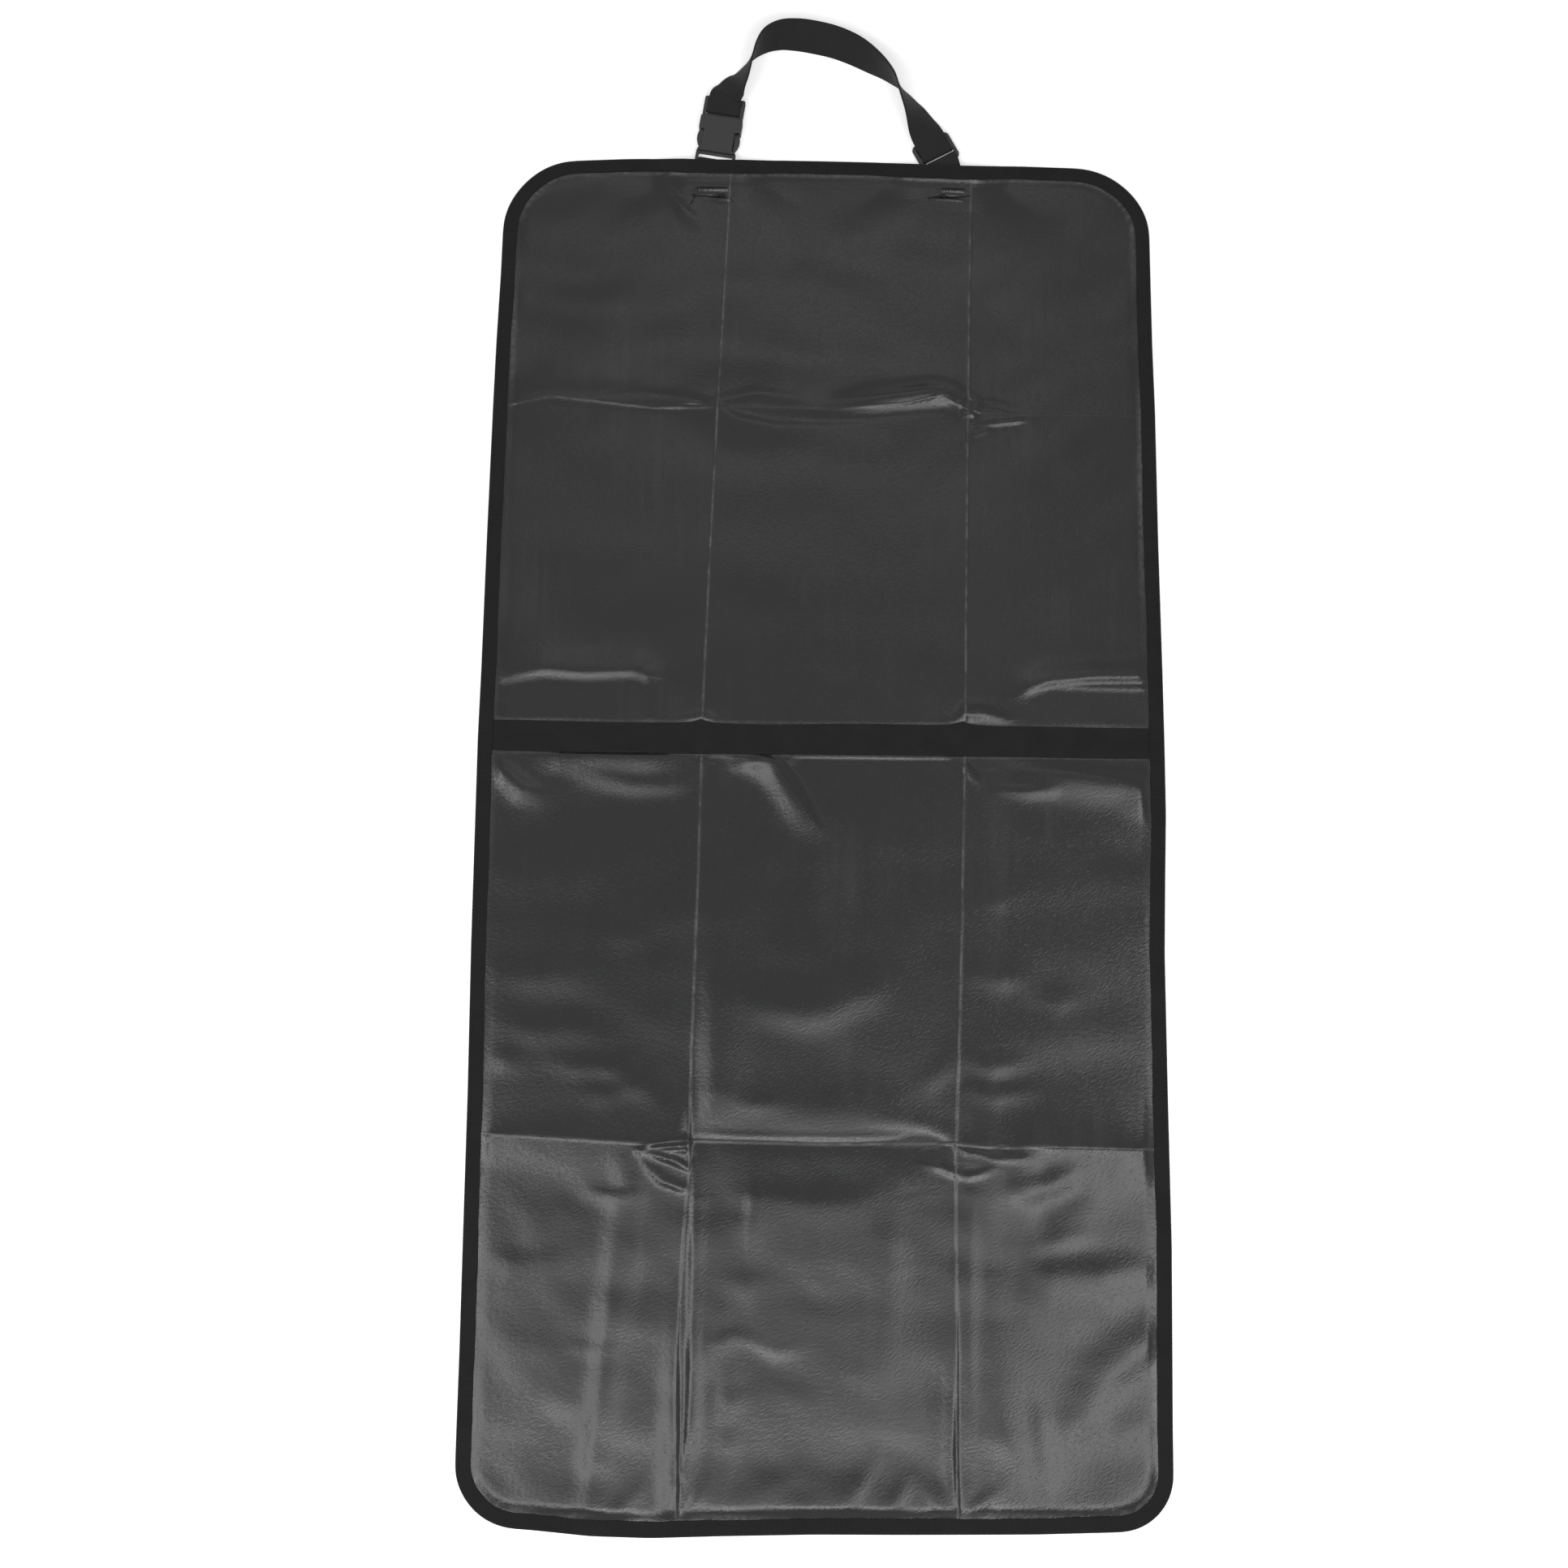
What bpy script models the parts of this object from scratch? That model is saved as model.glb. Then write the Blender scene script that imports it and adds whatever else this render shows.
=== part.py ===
"""Pet car seat cover: a coated mat in two panels, bound with tape all round, with a webbing handle.

The mat lies flat on the floor, seen from above. +Z is up, X runs across the mat and +Y runs towards the
handle. The origin is on the floor at the middle of the mat. Lengths below are in millimetres and the
objects are made in metres.
"""

import math

import bmesh
import bpy
import numpy as np
from mathutils.geometry import delaunay_2d_cdt

MM = 0.001

# Sheet, tapes and webbing
SHEET = 0.8          # coated sheet thickness
TAPE = 0.6           # binding and band thickness
GAP = 0.3            # clearance between pieces that touch
LEG = 10.5           # visible width of the binding on each face
SHEET_INSET = 1.5    # the sheet's edge, inside the fold of the binding
RIM = TAPE + GAP     # the sheet rides this high over the binding's lower leg
SEAM_Y = 51.0        # where the two panels meet
SEAM_GAP = 0.4
BAND_LOW, BAND_HIGH = 40.0, 62.0
WEB = 1.3            # webbing thickness
WEB_WIDE = 24.6      # 25 mm webbing

# Outline of the mat: half-widths at heights, and the top and bottom edges, with corner radii
SIDE_Y = (-500, -425, -375, -300, -200, -100, -50, 0, 50, 100, 200, 300, 350, 400, 500)
LEFT_X = (-242.6, -242.7, -242.6, -243, -243.4, -244.7, -244.9, -245.1, -245.3, -244.6, -244, -243,
          -242.2, -240.8, -239.5)
RIGHT_X = (242, 242.3, 243, 244, 243.3, 243, 244.3, 245.8, 245.7, 245.3, 244, 243.5, 242.4, 242, 241.5)
END_X = (-245, -190, -150, -110, -60, 0, 60, 110, 150, 190, 245)
TOP_Y = (489.5, 491.8, 493.8, 494.6, 494.2, 493.8, 493, 491.8, 491.4, 490.4, 488.5)
BOTTOM_Y = (-490, -493, -496.6, -497.4, -495.6, -494, -493.6, -493, -492.4, -491, -489)
CORNERS = {"top": 54.0, "bottom_left": 40.0, "bottom_right": 36.0}
BOX = {"left": -241.5, "right": 241.5, "top": 490.5, "low_left": -492.5, "low_right": -490.5}
TOP_PULL = 4.0       # the top edge draws in by this much where it rides over a tab
BAND_INSET = 3.2     # the band's ends stop this far inside the mat's edge
BAND_CALM = 1.2      # creases die out this far outside the band

# Buckle: its turn from +Y towards +X, and its parts along that axis from the mouth of the socket
BUCKLE_TURN = 8.6
RING_HALF, WAIST_HALF, FLANGE_HALF, PLUG_HALF = 15.9, 11.55, 14.9, 15.35
RING_END, WINDOW_END, FLANGE_END = -11.0, -27.0, -38.6
SLOT_TOP, SLOT_LOW = -29.3, -35.0
SLOT_HALF = 12.75
BODY_HIGH = 9.4
END_LOW, END_HIGH = 2.2, 7.2
BAR_LOW, BAR_HIGH = 3.2, 6.2                      # thinned bars, in the socket and in the plug
NECK_HALF, NECK_LOW, NECK_HIGH = 12.8, 2.6, 6.8
CAVITY_EASE = 0.6                                 # room round the plug's neck inside the socket
PLUG_START, PLUG_TOP, PLUG_LOW, PLUG_HIGH = 0.4, 16.2, 2.4, 7.0
PLUG_SLOTS = ((1.6, 4.4), (7.4, 12.6))
GUIDE_END, GUIDE_HALF = -21.5, 2.7
PRONG_LOW, PRONG_HIGH = 2.9, 6.5

# Slider: its turn from +Y towards +X, its plan and the depths of its bars
SLIDER_TURN = -28.7
SLIDER_HALF, SLIDER_TALL = 15.25, 11.3
SLIDER_LOW, SLIDER_HIGH = 2.2, 5.2
LOW_BAR, HIGH_BAR = 3.9, 3.0
MIDDLE_BAR = (-2.6, 0.4)

# Tabs: where each is sewn across the mat and how far inside the top edge, then its length from there to
# the bar that it turns round, and the turn of that length from +Y towards +X
SOCKET_TAB_X, SLIDER_TAB_X = -84.5, 91.5
SOCKET_SEWN, SLIDER_SEWN = 31.4, 28.7
SOCKET_TAB_LONG, SLIDER_TAB_LONG = 27.8, 31.4
SOCKET_TAB_TURN, SLIDER_TAB_TURN = 2.4, -10.4
TAB_SLACK = 0.15     # looseness of a tab round its bar, beside the gap
HANDLE_SLACK = 0.2   # the same of the handle
LIFT_HALF = 18.2     # the mat is lifted fully this far to each side of a tab
LIFT_FADE = 30.0     # and falls off over this much more

# Handle between plug and slider: share of the way, rise off the straight line, lean from flat in degrees
HANDLE = ((0.020, 7.3, 22), (0.049, 16.2, 50), (0.077, 30.3, 74), (0.102, 41.3, 92), (0.140, 50.2, 110),
          (0.195, 56.3, 124), (0.275, 59.9, 136), (0.366, 60.9, 140), (0.459, 59.8, 136), (0.556, 56.2, 128),
          (0.649, 50.1, 114), (0.726, 43.9, 98), (0.779, 38.2, 86), (0.836, 29.9, 66), (0.890, 20.8, 50),
          (0.941, 11.7, 28))
HANDLE_REST = 0.2    # the webbing's lower edge above the floor

# Creases: (x, y, height) along each, and its half-width
CREASES = (
    (((-71, 478, 0.8), (-74, 400, 1.2), (-78, 298, 1.5), (-82, 180, 1.3), (-84.5, 85, 1.6), (-85, 66, 3.4)), 1.5),
    (((-85, 37, 2.2), (-85.3, 20, 1.4), (-86, -50, 1.3), (-87.5, -150, 1.4), (-89, -233, 2.6), (-88.5, -250, 2.6),
      (-91, -290, 2.2), (-94, -350, 2.2), (-95, -400, 2.4), (-93.5, -440, 2.6), (-93, -483, 1.6)), 1.6),
    (((108.5, 477, 0.8), (106, 300, 1.5), (104.5, 190, 1.2), (103.5, 85, 1.4), (103, 67, 3.4)), 1.5),
    (((103, 36, 2.2), (102, 0, 1.4), (99.5, -115, 1.3), (96, -235, 2.4), (95.5, -300, 1.7), (96, -400, 1.7),
      (96.5, -483, 2.2)), 1.6),
    (((-232, 298, 1.1), (-200, 306, 1.0), (-125, 298, 0.9), (-78, 298.5, 1.3), (0, 298, 0.8), (60, 302, 1.4),
      (85, 308, 3.2), (104, 300, 3.8), (120, 296, 1.4), (232, 295.5, 0.9)), 1.9),
    (((-232, -230, 1.5), (-120, -236, 1.7), (-89, -233.5, 2.6), (0, -235, 2.3), (60, -234, 2.3), (96, -233.5, 3.0),
      (125, -236, 1.7), (160, -235, 1.7), (234, -236, 2.3)), 1.9),
    (((-85, -222, 2.4), (-50, -220, 2.8), (0, -219, 3.2), (60, -219, 3.4), (82, -224, 3.0), (94, -231, 2.0)), 6.5),
    (((-233, 92, 0.9), (-215, 98, 2.3), (-200, 101, 2.7), (-170, 100, 2.3), (-135, 101, 2.5), (-124, 96, 1.3)), 3.6),
    (((144, 86, 1.4), (160, 92, 2.5), (195, 96, 2.9), (234, 97, 2.9)), 2.4),
    (((-118, 471, 1.2), (-109, 460, 1.9), (-97, 447, 1.9), (-86, 440, 1.0)), 2.2),
    (((-82, 37, 1.5), (-50, 35, 2.3), (-30, 22, 2.9), (-15, 2, 2.4), (-4, -18, 0.9)), 4.2),
    (((-120, -240, 2.3), (-104, -238, 2.5), (-90, -234, 2.4)), 1.9),
    (((-119, -241, 2.0), (-105, -246, 1.8), (-93, -251, 2.0)), 1.8),
    (((-118, -242, 1.6), (-112, -252, 1.7), (-103, -262, 1.7), (-91, -266, 1.6)), 3.0),
    (((-137, -242, 1.6), (-134, -262, 2.1), (-140, -280, 1.5), (-143, -310, 1.9), (-145, -350, 1.7),
      (-150, -400, 2.3), (-155, -450, 2.3), (-156, -478, 1.2)), 7.5),
    (((-97, -385, 0.7), (-99, -410, 2.0), (-101, -440, 2.6), (-101, -465, 2.2), (-95, -482, 1.2)), 4.5),
    (((-82, -248, 1.6), (-79, -275, 2.3), (-79, -330, 2.3), (-80, -400, 2.5), (-78, -430, 2.5), (-84, -455, 1.6),
      (-90, -478, 1.0)), 3.6),
    (((-42, -255, 0.8), (-42, -275, 1.2), (-43, -300, 0.8)), 3.5),
    (((50, -270, 0.9), (50, -330, 1.3), (49, -395, 0.9)), 5.0),
    (((80, -250, 1.6), (90, -253, 2.5), (97, -254, 2.0), (108, -257, 2.4), (120, -252, 1.5)), 2.6),
    (((110, -236, 1.8), (126, -240, 2.2), (142, -246, 1.3)), 2.0),
    (((86, -262, 1.4), (85, -330, 1.9), (86, -400, 2.2), (87, -450, 2.4), (92, -478, 1.6)), 4.0),
    (((186, -398, 1.4), (205, -385, 2.5), (233, -370, 2.7)), 6.0),
    (((146, -440, 1.2), (148, -478, 1.7)), 4.5),
    (((-55, -137, 1.2), (-20, -142, 1.9), (15, -140, 1.7), (40, -128, 1.2)), 7.5),
    (((-75, -95, 0.9), (-75, -150, 1.3), (-72, -208, 1.7)), 7.0),
    (((106, 67, 2.8), (116, 67, 2.3), (133, 66, 1.0)), 3.6),
    (((101, 304, 2.0), (107, 308, 2.8), (113, 303, 2.0), (108, 287, 1.3), (118, 291, 2.2), (146, 292, 1.5)), 2.0),
)

# Broad swells: x, y, half-length across, half-length along and height
SWELLS = (
    (-160, 18, 48, 10, 2.6), (190, 8, 36, 8, 2.8), (225, 3, 14, 8, 1.4), (-190, -150, 34, 9, 1.6),
    (-130, -200, 24, 14, 1.6), (190, -253, 42, 15, 3.0), (190, -345, 40, 20, 2.8), (-185, -290, 34, 26, 2.4),
    (-190, -390, 40, 34, 2.6), (0, -315, 50, 14, 1.8), (-55, -366, 14, 8, 1.6), (-54, -425, 12, 22, 1.8),
    (20, -400, 30, 30, 1.6), (135, -400, 12, 60, 2.2), (200, -440, 26, 22, 2.0), (-150, 400, 40, 50, 1.6),
    (10, 270, 50, 12, 1.4), (-130, 150, 50, 20, 1.4), (170, 400, 40, 60, 1.4), (150, -190, 24, 14, 1.6),
)

COLOURS = {
    "sheet": ((0.046, 0.047, 0.049), 0.38),
    "binding": ((0.014, 0.014, 0.015), 0.82),
    "webbing": ((0.017, 0.017, 0.018), 0.78),
    "plastic": ((0.024, 0.024, 0.026), 0.42),
}


def smooth(value):
    value = np.clip(value, 0.0, 1.0)
    return value * value * (3.0 - 2.0 * value)


def resampled(points, step):
    """The open polyline, with a point about every step."""
    points = np.asarray(points, float)
    lengths = np.linalg.norm(np.diff(points[:, :2], axis=0), axis=1)
    along = np.concatenate([[0.0], np.cumsum(lengths)])
    count = max(2, int(round(along[-1] / step)) + 1)
    wanted = np.linspace(0.0, along[-1], count)
    return np.stack([np.interp(wanted, along, points[:, i]) for i in range(points.shape[1])], axis=1)


def corner(centre, radius, start):
    angles = np.radians(np.linspace(start, start - 90.0, 13))
    return [(centre[0] + radius * math.cos(a), centre[1] + radius * math.sin(a)) for a in angles]


def tab_place(x, inside, length, turn, ahead_turn, bar):
    """Sewn end of a tab and the place and heading of the piece that hangs on its bar."""
    edge = float(np.interp(x, END_X, TOP_Y))
    sewn = np.array([x, edge - inside])
    way = np.array([math.sin(math.radians(turn)), math.cos(math.radians(turn))])
    ahead = np.array([math.sin(math.radians(ahead_turn)), math.cos(math.radians(ahead_turn))])
    return sewn, sewn + way * length - ahead * bar


SOCKET_SEWN_AT, MOUTH = tab_place(SOCKET_TAB_X, SOCKET_SEWN, SOCKET_TAB_LONG, SOCKET_TAB_TURN, BUCKLE_TURN,
                                  SLOT_LOW)
SLIDER_SEWN_AT, SLIDER = tab_place(SLIDER_TAB_X, SLIDER_SEWN, SLIDER_TAB_LONG, SLIDER_TAB_TURN, SLIDER_TURN,
                                   LOW_BAR - SLIDER_TALL)


def tab_share(x, middle):
    """1 where the mat rides over a tab, falling to 0 on both sides of it."""
    return smooth(1.0 - (np.abs(x - middle) - LIFT_HALF) / LIFT_FADE)


def tab_middles():
    """Middle of each tab across the mat, between its sewn end and its bar."""
    turn = math.radians(BUCKLE_TURN)
    socket_bar = MOUTH[0] + math.sin(turn) * SLOT_LOW
    turn = math.radians(SLIDER_TURN)
    slider_bar = SLIDER[0] + math.sin(turn) * (LOW_BAR - SLIDER_TALL)
    return (SOCKET_SEWN_AT[0] + socket_bar) / 2, (SLIDER_SEWN_AT[0] + slider_bar) / 2


def outline():
    """The mat's outer edge, clockwise from the top left, closed and evenly spaced."""
    r_top, r_left, r_right = CORNERS["top"], CORNERS["bottom_left"], CORNERS["bottom_right"]
    path = []
    path += corner((BOX["left"] + r_top, BOX["top"] - r_top), r_top, 180)
    path += corner((BOX["right"] - r_top, BOX["top"] - r_top), r_top, 90)
    path += corner((BOX["right"] - r_right, BOX["low_right"] + r_right), r_right, 0)
    path += corner((BOX["left"] + r_left, BOX["low_left"] + r_left), r_left, -90)
    path.append(path[0])
    path = resampled(path, 2.0)[:-1]
    x, y = path[:, 0].copy(), path[:, 1].copy()
    # The straight box is bent to the measured edges, fading out towards the middle of the mat.
    left = np.interp(y, SIDE_Y, LEFT_X) - BOX["left"]
    right = np.interp(y, SIDE_Y, RIGHT_X) - BOX["right"]
    wide = BOX["right"] - BOX["left"]
    low = BOX["low_left"] + (BOX["low_right"] - BOX["low_left"]) * np.clip(0.5 + x / wide, 0, 1)
    top = np.interp(x, END_X, TOP_Y) - BOX["top"]
    for middle in tab_middles():
        top = top - TOP_PULL * tab_share(x, middle)
    bottom = np.interp(x, END_X, BOTTOM_Y) - low
    side = smooth((np.abs(x) - 190.0) / 45.0)
    end = smooth((np.abs(y) - 440.0) / 40.0)
    x = x + np.where(x < 0, left, right) * side
    y = y + np.where(y < 0, bottom, top) * end
    ring = np.stack([x, y], axis=1)
    for _ in range(6):
        ring = (ring + 0.5 * np.roll(ring, 1, axis=0) + 0.5 * np.roll(ring, -1, axis=0)) / 2.0
    return ring


def thinned(ring, step):
    closed = np.vstack([ring, ring[:1]])
    return resampled(closed, step)[:-1]


def inward(ring):
    """Unit normals of a clockwise ring that point into the mat."""
    ahead = np.roll(ring, -1, axis=0) - np.roll(ring, 1, axis=0)
    ahead /= np.linalg.norm(ahead, axis=1)[:, None]
    return np.stack([ahead[:, 1], -ahead[:, 0]], axis=1)


OUTLINE = outline()


def edge_distance(points, ring=OUTLINE):
    """How far each point lies from the mat's outer edge."""
    away = np.empty(len(points))
    after = np.roll(ring, -1, axis=0)
    step = after - ring
    square = (step ** 2).sum(axis=1)
    for start in range(0, len(points), 400):
        part = points[start:start + 400]
        offset = part[:, None, :] - ring[None]
        along = np.clip((offset * step[None]).sum(axis=2) / square[None], 0, 1)
        gap = offset - along[:, :, None] * step[None]
        away[start:start + 400] = np.sqrt((gap ** 2).sum(axis=2).min(axis=1))
    return away


def crease_height(points, line, wide):
    """Height of one crease at each point: its own height there, falling off sideways."""
    line = np.asarray(line, float)
    best = np.full(len(points), 1e9)
    height = np.zeros(len(points))
    for (x0, y0, h0), (x1, y1, h1) in zip(line[:-1], line[1:]):
        dx, dy = x1 - x0, y1 - y0
        along = np.clip(((points[:, 0] - x0) * dx + (points[:, 1] - y0) * dy) / (dx * dx + dy * dy), 0, 1)
        away = (points[:, 0] - x0 - along * dx) ** 2 + (points[:, 1] - y0 - along * dy) ** 2
        nearer = away < best
        best = np.where(nearer, away, best)
        height = np.where(nearer, h0 + along * (h1 - h0), height)
    return height * np.exp(-0.5 * best / wide ** 2)


def near_tab(points, reach):
    """Which points lie close to a tab, at the mat's top edge."""
    by = np.zeros(len(points), bool)
    for middle in tab_middles():
        by |= np.abs(points[:, 0] - middle) < reach
    return by & (points[:, 1] > min(SOCKET_SEWN_AT[1], SLIDER_SEWN_AT[1]) + 7.0)


def hardware_lift(points):
    """How far the mat is lifted by the tabs and by the bars of the buckle and the slider."""
    x, y = points[:, 0], points[:, 1]
    lift = np.zeros(len(points))
    layers = 2 * WEB + 3 * GAP
    over = WEB + 2 * (GAP + TAB_SLACK)
    socket_middle, slider_middle = tab_middles()
    for middle, sewn, bar in ((socket_middle, SOCKET_SEWN_AT[1], BAR_HIGH + over),
                              (slider_middle, SLIDER_SEWN_AT[1], SLIDER_HIGH + over + GAP)):
        knots = (-23, -7, -1, 13.5, 137)
        rise = (0, 0.8 * layers, layers, bar, bar)
        lift = np.maximum(lift, tab_share(x, middle) * np.interp(y - sewn, knots, rise))
    return lift


def sheet_low(points):
    """Height of the sheet's underside above the floor."""
    edge = edge_distance(points)
    seam = np.abs(points[:, 1] - (BAND_LOW + BAND_HIGH) / 2) - (BAND_HIGH - BAND_LOW) / 2
    calm = smooth((edge - LEG - 1.0) / 7.0) * smooth((seam - BAND_CALM) / 3.6)
    height = np.zeros(len(points))
    for line, wide in CREASES:
        height = np.maximum(height, crease_height(points, line, wide))
    swell = np.zeros(len(points))
    for x, y, across, along, high in SWELLS:
        far = ((points[:, 0] - x) / across) ** 2 + ((points[:, 1] - y) / along) ** 2
        swell = swell + high * np.exp(-far)
    height = np.maximum(height, 0) + 0.8 * swell
    height = np.maximum(height - 0.3, 0.0) * calm
    rim = RIM * smooth(1.0 - (edge - LEG - 1.0) / 12.0)
    return np.maximum(height + hardware_lift(points), 0.0) + rim


def material(name, kind):
    colour, rough = COLOURS[kind]
    made = bpy.data.materials.new(name)
    made.use_nodes = True
    shader = made.node_tree.nodes["Principled BSDF"]
    shader.inputs["Base Color"].default_value = (*colour, 1.0)
    shader.inputs["Roughness"].default_value = rough
    made.diffuse_color = (*colour, 1.0)
    return made


def add(collection, name, points, faces, kind):
    mesh = bpy.data.meshes.new(name)
    mesh.from_pydata([tuple(float(c) * MM for c in p) for p in points], [], [list(map(int, f)) for f in faces])
    mesh.validate()
    obj = bpy.data.objects.new(name, mesh)
    if kind:
        obj.data.materials.append(material(name + "_material", kind))
    collection.objects.link(obj)
    return obj


def solidify(obj, thick, side):
    """Gives an open surface its thickness: side 1 above it, 0 on both sides."""
    step = obj.modifiers.new("thickness", "SOLIDIFY")
    step.thickness = thick * MM
    step.offset = side
    step.use_even_offset = True
    step.use_rim = True


def spaced(candidates, taken, least):
    """The candidates that keep their distance from each other and from the points already taken."""
    kept = list(taken)
    chosen = []
    for point in candidates:
        if kept:
            near = np.asarray(kept)
            if ((near - point) ** 2).sum(axis=1).min() < least ** 2:
                continue
        kept.append(point)
        chosen.append(point)
    return chosen


def panel_points(ring):
    """Points of one panel: its edge, the creases with a row on each side, the rim rows and a plain grid."""
    low, high = ring[:, 1].min(), ring[:, 1].max()
    inside = lambda p: low + 1.0 < p[1] < high - 1.0
    taken = [tuple(p) for p in ring]
    lines = []
    # Rows along the band, where the creases stop.
    beside = (BAND_HIGH - BAND_LOW) / 2 + 0.7
    for shift in (-beside, beside):
        for x in np.arange(-240.0, 241.0, 4.0):
            point = (x, SEAM_Y + shift)
            if inside(point):
                near = -100 < x < -30 or 88 < x < 142
                taken += spaced([point], taken, 2.0 if near else 12.0)
    for line, wide in CREASES:
        middle = resampled(line, 13.0)[:, :2]
        chosen = spaced([tuple(p) for p in middle if inside(p)], taken, 1.8)
        taken += chosen
        lines.append(chosen)
    for line, wide in CREASES:
        middle = resampled(line, 13.0)[:, :2]
        ahead = np.gradient(middle, axis=0)
        ahead /= np.linalg.norm(ahead, axis=1)[:, None]
        side = np.stack([ahead[:, 1], -ahead[:, 0]], axis=1)
        for shift in (-1.7 * wide, 1.7 * wide):
            row = [tuple(p) for p in (middle + side * shift)[::2] if inside(p)]
            taken += spaced(row, taken, 2.0)
    normal = inward(OUTLINE)
    by_tabs = near_tab(OUTLINE, 58.0)
    for depth in (5.6, 10.6, 16.0):
        row = (OUTLINE + normal * depth)[by_tabs][::3]
        taken += spaced([tuple(p) for p in row if inside(p)], taken, 3.5)
    for depth, step, least in ((11.8, 6, 3.5), (17.5, 9, 5.0), (24.5, 9, 5.0)):
        row = (OUTLINE + normal * depth)[::step]
        taken += spaced([tuple(p) for p in row if inside(p)], taken, least)
    for middle, sewn in zip(tab_middles(), (SOCKET_SEWN_AT[1], SLIDER_SEWN_AT[1])):
        for y in np.arange(sewn - 21.0, sewn + 29.0, 6.0):
            for x in np.arange(middle - 48.0, middle + 50.0, 7.5):
                if inside((x, y)):
                    taken += spaced([(x, y)], taken, 4.0)
    grid = []
    for row, y in enumerate(np.arange(-480.0, 490.0, 20.0)):
        for x in np.arange(-232.0, 233.0, 23.0):
            point = (x + 11.5 * (row % 2), y)
            if inside(point):
                grid.append(point)
    taken += spaced(grid, taken, 9.0)
    return taken, lines


def triangulated(ring, extra):
    """Triangles that fill the ring and use the extra points inside it."""
    edge = [(float(x), float(y)) for x, y in ring]
    gap = edge_distance(np.asarray(extra)) if extra else np.zeros(0)
    extra = [p for p, g in zip(extra, gap) if g > SHEET_INSET + 1.5]
    points = edge + [(float(x), float(y)) for x, y in extra]
    made = delaunay_2d_cdt(points, [], [list(range(len(edge)))], 1, 1e-5)
    found = np.array([[v[0], v[1]] for v in made[0]])
    faces = np.array([list(f) for f in made[2]])
    used = np.unique(faces)
    number = np.full(len(found), -1)
    number[used] = np.arange(len(used))
    return found[used], number[faces]


def upward(points, faces):
    """The triangles turned so that they face up."""
    first, second, third = points[faces[:, 0]], points[faces[:, 1]], points[faces[:, 2]]
    turn = (second[:, 0] - first[:, 0]) * (third[:, 1] - first[:, 1])
    turn = turn - (second[:, 1] - first[:, 1]) * (third[:, 0] - first[:, 0])
    return np.where((turn < 0)[:, None], faces[:, ::-1], faces)


def panel(collection, name, upper):
    """One coated panel: an open surface over the outline, its creases and swells, given its thickness."""
    ring = thinned(OUTLINE + inward(OUTLINE) * SHEET_INSET, 2.0)
    limit = SEAM_Y + (SEAM_GAP / 2 if upper else -SEAM_GAP / 2)
    keep = ring[:, 1] > limit + 0.8 if upper else ring[:, 1] < limit - 0.8
    start = int(np.where(keep & ~np.roll(keep, 1))[0][0])
    part = np.roll(ring, -start, axis=0)[: int(keep.sum())]
    # The seam edge closes the ring, from its last point back to its first.
    ends = [(part[-1, 0], limit), (part[0, 0], limit)]
    corners = np.degrees(np.abs(np.arctan2(*(np.gradient(part, axis=0).T))))
    bend = np.abs(np.gradient(corners)) > 0.6
    tabs = near_tab(part, 58.0)
    chosen = []
    for i, point in enumerate(part):
        step = 3 if bend[i] or tabs[i] else 9
        if i % step == 0 or i == len(part) - 1:
            chosen.append(tuple(point))
    seam = resampled(np.array(ends), 16.0)
    ring = np.array(chosen + [tuple(p) for p in seam])
    extra, _ = panel_points(ring)
    points, faces = triangulated(ring, extra[len(ring):])
    surface = np.column_stack([points, sheet_low(points)])
    obj = add(collection, name, surface, upward(points, faces), "sheet")
    solidify(obj, SHEET, 1.0)
    return obj


def strip(rings, closed):
    """Faces of an open strip through rows of equally many points."""
    count = len(rings[0])
    verts = [tuple(p) for ring in rings for p in ring]
    faces = []
    for i in range(len(rings) if closed else len(rings) - 1):
        here, there = i * count, ((i + 1) % len(rings)) * count
        for j in range(count - 1):
            faces.append((here + j, here + j + 1, there + j + 1, there + j))
    return verts, faces


def binding(collection):
    """The tape folded round the mat's edge: an open U carried all the way round and given its thickness."""
    ring = OUTLINE
    normal = inward(ring)
    bend = np.abs(np.degrees(np.arctan2(normal[:, 0] * np.roll(normal[:, 1], 4) - normal[:, 1] *
                                        np.roll(normal[:, 0], 4), (normal * np.roll(normal, 4, axis=0)).sum(axis=1))))
    seam = np.abs(ring[:, 1] - (BAND_LOW + BAND_HIGH) / 2) - (BAND_HIGH - BAND_LOW) / 2
    near_band = seam < 13.0
    tabs = near_tab(ring, 58.0)
    chosen = []
    for i in range(len(ring)):
        step = 3 if bend[i] > 3 or near_band[i] or tabs[i] else 15
        if i % step == 0:
            chosen.append(i)
    low, high = TAPE / 2, 1.5 * TAPE + 2 * GAP + SHEET
    fold = TAPE / 2 + 0.15
    turn = 0.65
    section = ((LEG, low), (LEG / 2, low), (fold + turn, low), (fold, low + turn), (fold, high - turn),
               (fold + turn, high), (LEG / 2, high), (LEG, high))
    rings = []
    for i in chosen:
        raised = (TAPE + GAP) * smooth(1.0 - (seam[i] - 1.0) / 7.0)
        place = np.array([ring[i] + normal[i] * depth for depth, _ in section])
        lift = hardware_lift(place)
        points = []
        for (depth, z), spot, up in zip(section, place, lift):
            extra = raised if z > (low + high) / 2 else 0.0
            points.append((spot[0], spot[1], z + up + extra))
        rings.append(points)
    verts, faces = strip(rings, True)
    obj = add(collection, "edge_binding", verts, faces, "binding")
    solidify(obj, TAPE, 0.0)
    return obj


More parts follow.
